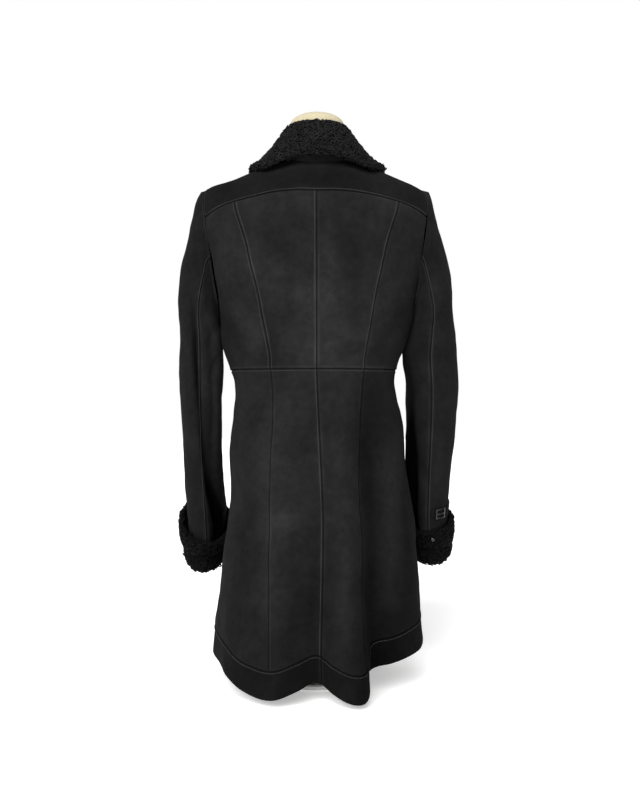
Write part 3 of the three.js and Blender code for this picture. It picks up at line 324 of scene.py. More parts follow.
# Patches of lighter and darker suede: some are brushed nap; the others are painted shade, darker towards the
# hem, in the armpits, along the deep fold and over the side gore, and painted light on the yoke under the
# collar.
NAP_AND_LIGHT_PATCHES = {
    # x, z, half width, half height, how much lighter (+) or darker (-) it is there: brushed nap, and painted
    # light and shade
    "back": [
        (0.000, 0.060, 0.260, 0.150, -0.34),
        (-0.006, 0.615, 0.040, 0.085, 0.46),
        (-0.045, 0.590, 0.030, 0.060, 0.14),
        (0.130, 0.790, 0.050, 0.060, -0.18),
        (-0.050, 0.780, 0.070, 0.060, -0.12),
        (0.050, 0.800, 0.016, 0.060, -0.12),
        (-0.020, 0.740, 0.012, 0.090, 0.16),
        (0.030, 0.680, 0.010, 0.070, 0.14),
        (-0.062, 0.690, 0.010, 0.080, -0.16),
        (0.076, 0.600, 0.012, 0.060, -0.16),
        (0.056, 0.298, 0.034, 0.028, 0.62),
        (0.036, 0.350, 0.080, 0.100, 0.12),
        (0.012, 0.805, 0.011, 0.034, 0.30),
        (0.110, 0.690, 0.045, 0.090, 0.10),
        (-0.090, 0.260, 0.018, 0.180, -0.36),
        (-0.112, 0.060, 0.045, 0.110, -0.30),
        (-0.128, 0.380, 0.020, 0.110, 0.16),
        (-0.160, 0.250, 0.030, 0.200, -0.20),
        (0.074, 0.200, 0.012, 0.110, 0.20),
        (-0.044, 0.190, 0.012, 0.110, 0.22),
        (0.004, 0.160, 0.018, 0.090, -0.20),
        (-0.112, 0.470, 0.045, 0.070, -0.18),
        (0.160, 0.625, 0.024, 0.060, -0.30),
        (-0.160, 0.620, 0.028, 0.065, -0.38),
        (-0.110, 0.500, 0.060, 0.050, -0.16),
        (0.150, 0.200, 0.050, 0.120, -0.12),
        (0.000, 0.330, 0.220, 0.170, -0.14),
        (0.147, 0.827, 0.030, 0.016, 0.30),
        (-0.130, 0.825, 0.030, 0.016, 0.30),
        (0.000, 0.622, 0.028, 0.028, 0.22),
        (0.000, 0.892, 0.050, 0.012, 0.40),
        (0.062, 0.884, 0.030, 0.012, 0.40),
        (-0.062, 0.884, 0.030, 0.012, 0.40),
        (0.100, 0.872, 0.022, 0.012, 0.35),
        (-0.100, 0.872, 0.022, 0.012, 0.35),
    ],
    "front": [
        (0.000, 0.060, 0.260, 0.150, -0.28),
        (-0.050, 0.640, 0.060, 0.090, 0.16),
        (0.080, 0.330, 0.070, 0.100, 0.14),
        (-0.090, 0.260, 0.050, 0.070, 0.18),
        (0.160, 0.625, 0.024, 0.060, -0.30),
        (-0.160, 0.620, 0.028, 0.065, -0.34),
    ],
}


def curve_through(rows, at, column):
    """The value in a column of a table, on a smooth curve through its rows; its first column is the place."""
    places, values = rows[:, 0], rows[:, column]
    slopes = np.empty(len(rows))
    slopes[1:-1] = (values[2:] - values[:-2]) / (places[2:] - places[:-2])
    slopes[0] = (values[1] - values[0]) / (places[1] - places[0])
    slopes[-1] = (values[-1] - values[-2]) / (places[-1] - places[-2])
    at = np.asarray(at, float)
    row = np.clip(np.searchsorted(places, at, side="left") - 1, 0, len(rows) - 2)
    span = places[row + 1] - places[row]
    t = np.clip((at - places[row]) / span, 0, 1)
    straight = values[row] + (values[row + 1] - values[row]) * t * t * (3 - 2 * t)
    return straight + t * (1 - t) ** 2 * span * slopes[row] + t * t * (t - 1) * span * slopes[row + 1]


def flute_depth(angle, z):
    """How far the skirt stands out of its plain section."""
    out = np.zeros(np.broadcast(angle, z).shape)
    for middle, depth, before, after, top in FLUTES:
        away = (np.asarray(angle) - middle + 180) % 360 - 180
        reach = np.minimum(np.maximum(0, (top - z) / top), 1.1)
        width = np.where(away < 0, before, after)
        out = out + depth * reach**1.5 * np.exp(-((away / width) ** 2))
    return out


def body_point(angle, z):
    """Points on the coat's outer face, from angles round the body and heights."""
    angle, z = np.broadcast_arrays(np.asarray(angle, float), np.asarray(z, float))
    c, s = np.cos(np.radians(angle)), np.sin(np.radians(angle))
    wide = np.where(c >= 0, curve_through(BODY, z, 1), curve_through(BODY, z, 2))
    deep = np.where(s >= 0, curve_through(BODY, z, 3), curve_through(BODY, z, 4))
    power = curve_through(BODY, z, 5)
    radius = (np.abs(c / wide) ** power + np.abs(s / deep) ** power) ** (-1 / power) + flute_depth(angle, z)
    return np.stack([radius * c + NECK_AXIS[0], radius * s + NECK_AXIS[1], z], -1)


def unit(vectors):
    return vectors / np.linalg.norm(vectors, axis=-1, keepdims=True)


def body_normal(angle, z):
    """Directions out of the coat's outer face."""
    turn, rise = 0.4, 0.0015
    across = body_point(angle + turn, z) - body_point(angle - turn, z)
    up = body_point(angle, z + rise) - body_point(angle, z - rise)
    return unit(np.cross(across, up))


def soft_waves(points):
    """The slight unevenness of a hide, the same on both sides of a seam."""
    height = np.zeros(points.shape[:-1])
    for index, (length, tall, direction) in enumerate(SOFT_WAVES):
        direction = np.array(direction) / np.linalg.norm(direction)
        side = np.array([direction[2], direction[0], direction[1]])
        bend = 1.7 * np.sin(points @ side * 2 * math.pi / (length * 1.9) + index)
        height += tall * np.sin(points @ direction * 2 * math.pi / length + bend + 2 * index)
    return height


def on_face(points, face):
    """Whether points lie on the coat's back or on its front."""
    return points[..., 1] > NECK_AXIS[1] if face == "back" else points[..., 1] < NECK_AXIS[1]


def body_creases(points):
    """Soft folds laid on the body, as heights, each fading out at both its ends."""
    height = np.zeros(points.shape[:-1])
    for face, rows in BODY_CREASES.items():
        for x0, z0, x1, z1, tall, wide in rows:
            t = (z0 - points[..., 2]) / (z0 - z1)
            across = points[..., 0] - (x0 + (x1 - x0) * t)
            fade = np.sin(math.pi * np.clip((t + 0.12) / 1.24, 0, 1)) ** 1.5
            height += on_face(points, face) * tall * fade * np.exp(-((across / wide) ** 2))
    return height


NAP_AND_LIGHT_DARKEST = 0.16
# painted shade in a fold's trough and a painted highlight on a ridge, each by its height; and the lightest it
# may be
BODY_NAP_AND_LIGHT = {"in a fold": 55, "on a ridge": 28, "lightest": 1.6}  # the first two to the metre of height


def body_nap_and_light(points, raised):
    """How light the body's suede is: patches of pile and of painted light and shade, with painted shade down
    in the folds and a painted highlight on the ridges.
    """
    nap_and_painted_light = 1 + BODY_NAP_AND_LIGHT["in a fold"] * np.minimum(raised, 0) + BODY_NAP_AND_LIGHT["on a ridge"] * np.maximum(raised, 0)
    for face, rows in NAP_AND_LIGHT_PATCHES.items():
        for x, z, wide, tall, lighter in rows:
            far = ((points[..., 0] - x) / wide) ** 2 + ((points[..., 2] - z) / tall) ** 2
            nap_and_painted_light += on_face(points, face) * lighter * np.exp(-far)
    return np.clip(nap_and_painted_light, NAP_AND_LIGHT_DARKEST, BODY_NAP_AND_LIGHT["lightest"])


# Suede: a short matt nap that has been brushed and rubbed into lighter and darker clouds, paler where a
# seam stands up, from wear and a painted highlight on its crest, and painted shade down in the seam itself.
SUEDE = {
    "dark": (0.0075, 0.0075, 0.0076), "mid": (0.0108, 0.0107, 0.0108), "light": (0.0152, 0.0151, 0.0151),
    # the pale colour of a seam's crest: wear, and a painted highlight where the ridge catches the light
    "rubbed_and_highlit": (0.038, 0.0372, 0.0372),
}
# painted shade down in a seam, where the cloth rolls into it
SEAM_PAINTED_SHADE = (0.002, 0.002, 0.002)


def attribute(tree, name):
    """A value that the mesh carries at its points."""
    node = tree.nodes.new("ShaderNodeAttribute")
    node.attribute_name = name
    return node.outputs["Fac"]


def blend(tree, share, first, second):
    """Mixes a colour that comes from a node with a plain one, by a share."""
    mix = tree.nodes.new("ShaderNodeMix")
    mix.data_type = "RGBA"
    set_inputs(tree, mix, {"Factor": share, "A": first, "B": (*second, 1)})
    return mix.outputs["Result"]


def suede(name, shade=1.0, reads_nap_and_light=True):
    """Suede made darker by a factor, and lighter or darker at its points by a value that holds patches of
    pile with painted light and shade laid on them.
    """
    material, tree, shader = new_material(name)
    dyed = {part: tuple(shade * value for value in colour) for part, colour in SUEDE.items()}
    large = arithmetic(tree, "MULTIPLY", noise(tree, 17, detail=4, rough=0.62), 0.64)
    clouds = arithmetic(tree, "MULTIPLY_ADD", noise(tree, 95, detail=4, rough=0.6), 0.36, large)
    cloudy = colour_steps(tree, clouds, [(0.36, dyed["dark"]), (0.5, dyed["mid"]), (0.66, dyed["light"])])
    worn_and_highlit = blend(tree, attribute(tree, "rubbed_and_highlit"), cloudy, dyed["rubbed_and_highlit"])
    # painted shade darkens the suede down in a seam
    seamed = blend(tree, attribute(tree, "sunk"), worn_and_highlit, SEAM_PAINTED_SHADE)
    # the point value: brushed nap, with painted light and shade laid on it
    nap_and_painted_light = attribute(tree, "nap_and_painted_light") if reads_nap_and_light else 1
    nap_and_light_scaled = tree.nodes.new("ShaderNodeVectorMath")
    nap_and_light_scaled.operation = "SCALE"
    set_inputs(tree, nap_and_light_scaled, {0: seamed, "Scale": nap_and_painted_light})
    # gloss and sheen fade out where the painted shade is deepest
    gleams = {}
    for socket, most in (("Specular IOR Level", 0.03), ("Sheen Weight", 0.02)):
        gleam = tree.nodes.new("ShaderNodeMapRange")
        set_inputs(tree, gleam, {
            "Value": nap_and_painted_light, "From Min": NAP_AND_LIGHT_DARKEST, "From Max": 0.75, "To Min": 0, "To Max": most,
        })
        gleams[socket] = gleam.outputs["Result"]
    grain, fine = noise(tree, 260, detail=3, rough=0.6), noise(tree, 1500, detail=3, rough=0.7)
    coarse = bump(tree, grain, depth=0.0009, strength=0.5)
    set_inputs(tree, shader, {
        "Base Color": nap_and_light_scaled.outputs["Vector"],
        "Roughness": 0.95,
        "Sheen Roughness": 0.6,
        "Sheen Tint": (0.5, 0.5, 0.52, 1),
        "Normal": bump(tree, fine, depth=0.0004, strength=0.55, over=coarse),
        **gleams,
    })
    return material


WOOL = {"dark": (0.002, 0.002, 0.0021), "light": (0.0105, 0.0103, 0.0105)}


def clipped_wool(name):
    """Clipped curly wool, seen as a nubbly mat."""
    material, tree, shader = new_material(name)
    nub = texture(tree, "Voronoi", 260).outputs["Distance"]
    set_inputs(tree, shader, {
        "Base Color": colour_steps(tree, nub, [(0.05, WOOL["light"]), (0.7, WOOL["dark"])]),
        "Roughness": 0.9,
        "Specular IOR Level": 0.05,
        "Sheen Weight": 0.04,
        "Normal": bump(tree, arithmetic(tree, "SUBTRACT", 1, nub), depth=0.003, strength=0.9),
    })
    return material


# Darker copies of the suede: the side gore's and the sleeves' are painted shade, where those parts lie darker
# in the light; the yoke's and the hem band's are a darker tone.
suede_back = suede("suede_back")
suede_yoke = suede("suede_yoke", 0.52)
suede_sleeve = suede("suede_sleeve", 0.74)
suede_side = suede("suede_side", 0.84)
suede_band = suede("suede_band", 0.55)
fleece = clipped_wool("fleece")

EDGE_STEPS = [0.0, 0.0006, 0.0012, 0.002, 0.003, 0.0042, 0.006, 0.0085, 0.012]  # close rows beside a seam
CLOTH_STEP = 0.0062


def shares(length):
    """Places from 0 to 1 along a length, close together beside both its ends."""
    first = np.array(EDGE_STEPS) / length
    count = max(2, int(round((length - 2 * EDGE_STEPS[-1]) / CLOTH_STEP)))
    middle = np.linspace(first[-1], 1 - first[-1], count + 1)[1:-1]
    return np.concatenate([first, middle, 1 - first[::-1]])


def distance_along(line):
    """How far each point of a line is from its start."""
    return np.concatenate([[0], np.cumsum(np.linalg.norm(np.diff(line, axis=0), axis=-1))])


def spread_along(line, places):
    """Where on a line, in its own places, the columns of a panel stand."""
    walked = distance_along(line)
    return np.interp(shares(walked[-1]), walked / walked[-1], places)


def edge_distances(points):
    """How far each point of a grid is from its left, right, lower and upper edge, along the cloth."""
    across = np.linalg.norm(np.diff(points, axis=1), axis=-1)
    up = np.linalg.norm(np.diff(points, axis=0), axis=-1)
    from_left = np.concatenate([np.zeros((len(points), 1)), np.cumsum(across, 1)], 1)
    from_low = np.concatenate([np.zeros((1, points.shape[1])), np.cumsum(up, 0)], 0)
    return from_left, from_left[:, -1:] - from_left, from_low, from_low[-1:] - from_low


RIDGE = {"tall": 0.0007, "at": 0.0033, "wide": 0.0021, "roll": 0.0015, "soft": 0.0013}


def seam_relief(distance, ridge):
    """A sewn edge: it rolls down into the seam, after a low ridge over the turned allowance."""
    low = RIDGE["roll"] * np.exp(-((distance / RIDGE["soft"]) ** 2))
    return ridge * RIDGE["tall"] * np.exp(-(((distance - RIDGE["at"]) / RIDGE["wide"]) ** 2)) - low


WEAR_AND_HIGHLIGHT_LENGTH = 0.35


def uneven(points):
    """A slow uneven value, for the wear and painted highlight that come and go along a seam."""
    a = np.sin(points @ np.array([3.1, 1.7, 2.3]) * 2 * math.pi / WEAR_AND_HIGHLIGHT_LENGTH + 1)
    b = np.sin(points @ np.array([-1.3, 2.9, 3.7]) * 2 * math.pi / (WEAR_AND_HIGHLIGHT_LENGTH * 0.61) + 2)
    return np.clip(0.62 + 0.3 * a + 0.25 * b, 0.05, 1.2)


SEAM_LAP = 0.0012  # how far the wool sides of two panels reach past each other behind their seam
STITCH_AT = 4  # the close row beside an edge that the stitches follow
CUT_EDGE = {"roll": 0.0012, "soft": 0.0016}  # a free edge rolls in a little
SEAM_WEAR_AND_HIGHLIGHT = 0.42  # how much of the pale crest colour, wear and painted highlight, shows on a seam's crest
SEAM_SHADE = {"most": 0.6, "wide": 0.001}
DIP_INSIDE = 0.3  # how much of a dip in the suede shows on the wool side
stitch_lines = []


def grid_line(edge, number):
    """Picks out a row or column of a grid, counted inwards from one of its edges."""
    at = number if edge in ("left", "low") else -1 - number
    return (slice(None), at) if edge in ("left", "right") else (at, slice(None))


def cloth_shell(
    name, points, normals, materials, ridges, thick=SKIN, around=False, waves=1.0, nap_and_painted_light=1.0, stitched=(),
):
    """A thin closed shell with a suede face and a wool face. Its grid's rows run up, its columns across."""
    points, lapped = points.copy(), points.copy()
    distances = edge_distances(points)
    if around:
        far = np.full(points.shape[:2], 1.0)
        distances = (far, far, *distances[2:])
    else:
        for edge, ridge in zip(("left", "right", "low", "high"), ridges):
            place = grid_line(edge, 0)
            inward = unit(points[grid_line(edge, 1)] - points[place])
            points[place] += inward * SEAM_GAP / 2
            lapped[place] -= inward * (0 if ridge is None else SEAM_LAP)
    lift = waves * soft_waves(points)
    rubbed_and_highlit = np.zeros(points.shape[:2])
    sunk = np.zeros(points.shape[:2])
    for distance, ridge in zip(distances, ridges):
        if ridge is None:
            lift -= CUT_EDGE["roll"] * np.exp(-((distance / CUT_EDGE["soft"]) ** 2))
        if not ridge:
            continue
        lift += seam_relief(distance, ridge)
        # a seam's crest is painted paler: wear, and a painted highlight on the ridge
        crest = np.exp(-(((distance - RIDGE["at"] * 0.8) / (RIDGE["wide"] * 0.8)) ** 2))
        rubbed_and_highlit = np.maximum(rubbed_and_highlit, ridge * crest * SEAM_WEAR_AND_HIGHLIGHT * uneven(points))
        # painted shade down in the seam itself
        sunk = np.maximum(sunk, SEAM_SHADE["most"] * np.exp(-((distance / SEAM_SHADE["wide"]) ** 2)))
    outer = points + normals * lift[..., None]
    inner = lapped - normals * (thick - DIP_INSIDE * np.minimum(lift, 0))[..., None]
    for edge in stitched:
        line = grid_line(edge, STITCH_AT)
        stitch_lines.append((outer[line], normals[line]))
    size = points.shape[0] * points.shape[1]
    index = np.arange(size).reshape(points.shape[:2])
    if around:
        index = np.concatenate([index, index[:, :1]], 1)
    a, b, c, d = index[:-1, :-1], index[:-1, 1:], index[1:, 1:], index[1:, :-1]
    face = np.stack([a, b, c, d], -1).reshape(-1, 4)
    back = face[:, ::-1] + size
    rims = [(index[0], True), (index[-1], False)]
    if not around:
        rims += [(index[:, 0], False), (index[:, -1], True)]
    rim = []
    for edge, flipped in rims:
        a, b = edge[:-1], edge[1:]
        rim.append(np.stack([a + size, b + size, b, a] if flipped else [a, b, b + size, a + size], -1))
    faces = np.concatenate([face, back, *rim])
    slots = np.zeros(len(faces), int)
    slots[len(face) : len(face) + len(back)] = 1
    values = {
        key: np.concatenate([np.broadcast_to(outside, points.shape[:2]).ravel(), np.full(size, inside)])
        for key, outside, inside in (("rubbed_and_highlit", rubbed_and_highlit, 0), ("sunk", sunk, 0), ("nap_and_painted_light", nap_and_painted_light, 1))
    }
    points = np.concatenate([outer.reshape(-1, 3), inner.reshape(-1, 3)])
    return mesh_piece(name, points, faces, materials, slots, values)


def mesh_piece(name, points, faces, materials, slots=None, values=None):
    """A named object from points and faces of one size, riding on the coat."""
    points, faces = np.asarray(points, np.float32), np.asarray(faces, np.int32)
    mesh = bpy.data.meshes.new(name)
    mesh.vertices.add(len(points))
    mesh.vertices.foreach_set("co", points.ravel())
    sides = faces.shape[1]
    mesh.loops.add(faces.size)
    mesh.loops.foreach_set("vertex_index", faces.ravel())
    mesh.polygons.add(len(faces))
    mesh.polygons.foreach_set("loop_start", np.arange(0, faces.size, sides, dtype=np.int32))
    mesh.polygons.foreach_set("use_smooth", np.ones(len(faces), bool))
    for material in materials:
        mesh.materials.append(material)
    if slots is not None:
        mesh.polygons.foreach_set("material_index", np.asarray(slots, np.int32))
    for key, value in (values or {}).items():
        layer = mesh.attributes.new(key, "FLOAT", "POINT")
        layer.data.foreach_set("value", np.asarray(value, np.float32))
    mesh.update()
    mesh.validate()
    piece = bpy.data.objects.new(name, mesh)
    bpy.context.collection.objects.link(piece)
    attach(piece, "root")
    return piece


# Back bodice: four panels sewn by two princess seams and a middle seam. They run up from the waist seam to
# the yoke, the outer two round the armholes.
ARMHOLE = {"y": -0.006, "z": 0.747, "deep": 0.056, "high": 0.112, "steps": 24, "yoke_steps": 4}
BODICE_ROWS_BELOW = 3
BACK_SEAMS = np.array([
    # z, left princess seam, middle seam, right princess seam, as angles
    (-0.02, 67, 91, 114),
    (0.08, 65.5, 92.5, 114.5),
    (0.276, 60.5, 94.2, 118),
    (0.325, 59, 94, 119),
    (0.42, 56, 92.5, 124),
    (0.48, 53, 91.3, 128),
    (0.542, 49, 90, 133),
    (0.568, 49, 90, 133),
    (0.626, 47.5, 90, 133),
    (0.69, 45, 90, 135),
    (0.758, 40.5, 90, 139.5),
    (0.82, 32, 90, 148),
])
YOKE_SEAM = np.array([
    # angle from the middle of the back, z
    (0, 0.839),
    (22, 0.838),
    (42, 0.833),
    (58, 0.822),
    (68, 0.812),
    (76, 0.803),
])
SEAM_COLUMN = {"left": 1, "middle": 2, "right": 3}
SEAM_STRAIGHT_Z = 0.819  # from here up to the yoke a seam keeps its angle
SEAM_TOP = {name: float(BACK_SEAMS[-1, column]) for name, column in SEAM_COLUMN.items()}


def yoke_seam_z(angle):
    return curve_through(YOKE_SEAM, np.minimum(np.abs(angle - 90), YOKE_SEAM[-1, 0]), 1)


def armhole_edge(side, turn):
    """Angle and height of the armhole's edge. Turn 0 is its top, 90 behind, 180 below, 270 in front."""
    turn = np.asarray(turn, float)
    y = ARMHOLE["y"] + ARMHOLE["deep"] * np.sin(np.radians(turn))
    z = ARMHOLE["z"] + ARMHOLE["high"] * np.cos(np.radians(turn))
    wide = curve_through(BODY, z, 1 if side == "left" else 2)
    deep = np.where(y >= 0, curve_through(BODY, z, 3), curve_through(BODY, z, 4))
    power = curve_through(BODY, z, 5)
    x = wide * (1 - np.abs(y / deep) ** power) ** (1 / power)
    angle = np.degrees(np.arctan2(y, x))
    return (angle if side == "left" else 180 - angle), z


def bodice_side(side, share, to_front=False):
    """The edge up the side seam and round the armhole."""
    steps = ARMHOLE["steps"] // 2 - (0 if to_front else ARMHOLE["yoke_steps"])
    row = share * (BODICE_ROWS_BELOW + steps)
    pit_angle, pit_z = armhole_edge(side, 180)
    turned = np.maximum(row - BODICE_ROWS_BELOW, 0) * 360 / ARMHOLE["steps"]
    angle, z = armhole_edge(side, 180 + turned if to_front else 180 - turned)
    below = row <= BODICE_ROWS_BELOW
    lower = WAIST_Z + (pit_z - WAIST_Z) * row / BODICE_ROWS_BELOW
    return np.where(below, pit_angle, angle), np.where(below, lower, z)


def bodice_seam(name, share):
    z = WAIST_Z + (yoke_seam_z(SEAM_TOP[name]) - WAIST_Z) * share
    return np.where(z > SEAM_STRAIGHT_Z, SEAM_TOP[name], curve_through(BACK_SEAMS, z, SEAM_COLUMN[name])), z


def between_edges(edges, low, high, columns, rows):
    """Angles and heights over a panel from its lengthwise edges. Columns count from 0 to the last edge."""
    span = np.clip(np.floor(columns).astype(int), 0, len(edges) - 2)
    t = (columns - span)[None, :]
    along = [edge(rows) for edge in edges]
    feet = [edge(np.array([0.0])) for edge in edges]
    tops = [edge(np.array([1.0])) for edge in edges]

    def pick(values, part):
        table = np.stack([value[part] for value in values], -1)
        return table[:, span] + (table[:, span + 1] - table[:, span]) * t

    foot_angle, top_angle = pick(feet, 0), pick(tops, 0)
    v = rows[:, None]
    ends = low(foot_angle) + (high(top_angle) - low(foot_angle)) * v
    drift = pick(along, 1) - (pick(feet, 1) + (pick(tops, 1) - pick(feet, 1)) * v)
    return pick(along, 0), ends + drift


def panel_grid(edges, low, high, inset=None):
    """Points and outward directions over a panel, on the coat's outer face or a little inside it."""
    spans = len(edges) - 1
    rough = between_edges(edges, low, high, np.linspace(0, spans, 24), np.linspace(0, 1, 24))
    points = body_point(*rough)
    wide = np.linalg.norm(np.diff(points, axis=1), axis=-1).sum(1).mean()
    tall = np.linalg.norm(np.diff(points, axis=0), axis=-1).sum(0).mean()
    lengths = np.linalg.norm(np.diff(points, axis=1), axis=-1).mean(0)
    walked = np.concatenate([[0], np.cumsum(lengths)]) / lengths.sum()
    columns = np.interp(shares(wide), walked, np.linspace(0, spans, 24))
    angle, z = between_edges(edges, low, high, columns, shares(tall))
    points, normals = body_point(angle, z), body_normal(angle, z)
    if inset:
        points = points - normals * inset(angle, z)[..., None]
    return points, normals


def waist(angle):
    return np.full(np.shape(angle), WAIST_Z)


def creased(points, normals):
    """A panel's points with its folds laid on them, and how light its suede is, painted light and shade
    included.
    """
    raised = body_creases(points)
    return points + normals * raised[..., None], body_nap_and_light(points, raised)


def body_panel(name, edges, low, high, material, ridges, inset=None, stitched=()):
    """One panel of the body, which takes the place of its solid."""
    points, normals = panel_grid(edges, low, high, inset)
    points, nap_and_painted_light = creased(points, normals)
    piece = cloth_shell(name, points, normals, [material, fleece], ridges=ridges, nap_and_painted_light=nap_and_painted_light, stitched=stitched)
    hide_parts(name.removesuffix("_suede"))


BACK_PANELS = [
    # name, left and right edge, flat size and area, ridges (left, right, low, high), stitched edges
    ("back_side_left", "side left", "left", (0.165, 0.285), 0.0283, (1, 0.25, 0.9, 0.3), ["right"]),
    ("back_centre_left", "left", "middle", (0.155, 0.300), 0.0307, (0.9, 0.95, 0.9, 0.3), ["left", "right"]),
    ("back_centre_right", "middle", "right", (0.155, 0.300), 0.0311, (0.6, 0.9, 0.9, 0.3), ["right"]),
    ("back_side_right", "right", "side right", (0.165, 0.285), 0.0279, (0.25, 1, 0.9, 0.3), []),
]
BACK_EDGES = {
    "side left": lambda v: bodice_side("left", v),
    "left": lambda v: bodice_seam("left", v),
    "middle": lambda v: bodice_seam("middle", v),
    "right": lambda v: bodice_seam("right", v),
    "side right": lambda v: bodice_side("right", v),
}
for name, left, right, flat, area, ridges, stitched in BACK_PANELS:
    body_panel(
        name + "_suede", [BACK_EDGES[left], BACK_EDGES[right]], waist, yoke_seam_z, suede_back,
        ridges=ridges, stitched=stitched,
    )

# Yoke: one piece over both shoulder blades, from the shoulder seams to the curved yoke seam, whose lower
# edge is turned under and stands up as a welt, paler on its crest from wear and a painted highlight.
NECKLINE = {"back": 0.892, "side": 0.903, "front": 0.842}
YOKE_TURN = 60  # how far round the armhole, in degrees from its top, the yoke reaches
YOKE_HEIGHT = 0.075


def neckline_z(angle):
    from_back = np.abs((np.asarray(angle, float) - 90) % 360)
    from_back = np.minimum(from_back, 360 - from_back)
    back, side, front = (NECKLINE[place] for place in ("back", "side", "front"))
    behind = back + (side - back) * np.sin(np.radians(np.minimum(from_back, 90))) ** 2
    ahead = front + (side - front) * np.maximum(np.cos(np.radians(from_back - 90)), 0) ** 3
    return np.where(from_back <= 90, behind, ahead)


def yoke_lower_edge(share):
    """The upper part of an armhole, the yoke seam from left to right, and the other armhole."""
    corner = {side: float(armhole_edge(side, YOKE_TURN)[0]) for side in ("left", "right")}
    knots = [corner["left"], SEAM_TOP["left"], SEAM_TOP["middle"], SEAM_TOP["right"], corner["right"]]
    counts = np.array([4, 6, 5, 5, 6, 4])
    ends = np.concatenate([[0], np.cumsum(counts)]) / counts.sum()
    part = np.clip(np.searchsorted(ends, share, side="right") - 1, 0, 5)
    t = (share - ends[part]) / (ends[part + 1] - ends[part])
    left_arm, right_arm = armhole_edge("left", YOKE_TURN * t), armhole_edge("right", YOKE_TURN * (1 - t))
    start = np.array([0, *knots[:-1], 0])[part]
    stop = np.array([0, *knots[1:], 0])[part]
    seam = start + (stop - start) * t
    angle = np.where(part == 0, left_arm[0], np.where(part == 5, right_arm[0], seam))
    z = np.where(part == 0, left_arm[1], np.where(part == 5, right_arm[1], yoke_seam_z(seam)))
    return angle, z


def yoke_grid():
    """Points and outward directions over the yoke, fanned from its lower edge up to the neckline."""
    fine = np.linspace(0, 1, 400)
    columns = spread_along(body_point(*yoke_lower_edge(fine)), fine)
    rows = shares(YOKE_HEIGHT)[:, None]
    low_angle, low_z = yoke_lower_edge(columns)
    neck_angle = 180 * columns
    angle = low_angle + (neck_angle - low_angle) * rows
    z = low_z + (neckline_z(neck_angle) - low_z) * rows
    return body_point(angle, z), body_normal(angle, z)


points, normals = yoke_grid()
yoke = cloth_shell(
    "yoke_suede", points, normals, [suede_yoke, fleece],
    ridges=(0.7, 0.7, 1.6, 0), nap_and_painted_light=body_nap_and_light(points, 0), stitched=["low"],
)
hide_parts("yoke")

# Fronts: one panel a side from the waist up to the shoulder seam. The wearer's right laps over the left,
# which steps in under it by the thickness of the skin. Their edges are cut and turned, with no seam on them.
FRONT_OVERLAP = 0.036
LAP_CLEARANCE = 0.00045


def lap_angle(z):
    return np.degrees(np.arcsin(FRONT_OVERLAP / curve_through(BODY, np.minimum(z, NECKLINE["front"]), 4)))


def lap_line(place):
    """Angle of the far edge of the lap, of its near edge, or of where the left front steps in."""
    return lambda z: 270 + {"far": -1, "near": 1, "step": 1.5}[place] * lap_angle(z)


def under_lap(angle, z):
    step, near = lap_line("step")(z), lap_line("near")(z)
    t = np.clip((step - 1 - angle) / (step - near - 2), 0, 1)
    return (SKIN + LAP_CLEARANCE) * t * t * (3 - 2 * t)


def front_edge(place):
    """The edge of a front in the lap, from the waist up to the neckline."""
    angle_of = lap_line(place)

    def edge(share):
        top_angle = angle_of(NECKLINE["front"])
        z = WAIST_Z + (neckline_z(top_angle) - WAIST_Z) * share
        return np.where(share >= 1, top_angle, angle_of(np.minimum(z, NECKLINE["front"]))), z

    return edge


def front_side(side):
    """The outer edge of a front: side seam, armhole and shoulder seam."""
    arm_rows, shoulder_rows = BODICE_ROWS_BELOW + ARMHOLE["steps"] // 2, 3

    def edge(share):
        row = share * (arm_rows + shoulder_rows)
        angle, z = bodice_side(side, np.minimum(row / arm_rows, 1), to_front=True)
        top_angle, top_z = armhole_edge(side, 0)
        t = np.maximum(row - arm_rows, 0) / shoulder_rows
        if side == "left":
            angle = np.where(angle < 180, angle + 360, angle)
            top_angle = top_angle + 360
        neck_angle = 360 if side == "left" else 180
        over = row > arm_rows
        shoulder_z = top_z + (NECKLINE["side"] - top_z) * t
        return np.where(over, top_angle + (neck_angle - top_angle) * t, angle), np.where(over, shoulder_z, z)

    return edge


body_panel(
    "front_left_suede",
    [front_edge("far"), front_edge("near"), front_edge("step"), front_side("left")],
    waist, neckline_z, suede_back, inset=under_lap, ridges=(None, 1, 1, 0),
)
body_panel(
    "front_right_suede",
    [front_side("right"), front_edge("far"), front_edge("near")],
    waist, neckline_z, suede_back, ridges=(1, None, 1, 0),
)

# Skirt: six flared gores hung from the waist seam. It is cut wide at the hem, so it falls in flutes, the
# deepest beside the right princess seam, where the gore turns away from the viewer.
BAND_DEPTH = 0.045
HEM = np.array([
    # angle, z
    (0, 0.054),
    (20, 0.045),
    (36, 0.035),
    (52, 0.018),
    (68, 0.013),
    (80, 0.025),
    (90, 0.034),
    (99, 0.019),
    (108, 0.009),
    (116, 0.014),
    (127, 0.045),
    (143, 0.052),
    (160, 0.064),
    (180, 0.083),
    (205, 0.075),
    (228, 0.044),
    (250, 0.044),
    (270, 0.036),
    (291, 0.042),
    (313, 0.034),
    (336, 0.052),
    (360, 0.054),
])


def hem_z(angle):
    return curve_through(HEM, np.asarray(angle, float) % 360, 1)


def band_z(angle):
    return hem_z(angle) + BAND_DEPTH


def gore_edge(angle_of):
    """A seam of the skirt, from the hem band up to the waist."""
    foot = band_z(angle_of(np.array(0.08)))  # a first guess, bettered below
    for _ in range(4):
        foot = band_z(angle_of(foot))

    def edge(share):
        z = foot + (WAIST_Z - foot) * share
        return np.broadcast_to(angle_of(z), z.shape), z

    return edge


def back_seam(column, aside=0):
    return lambda z: curve_through(BACK_SEAMS, z, column) + aside


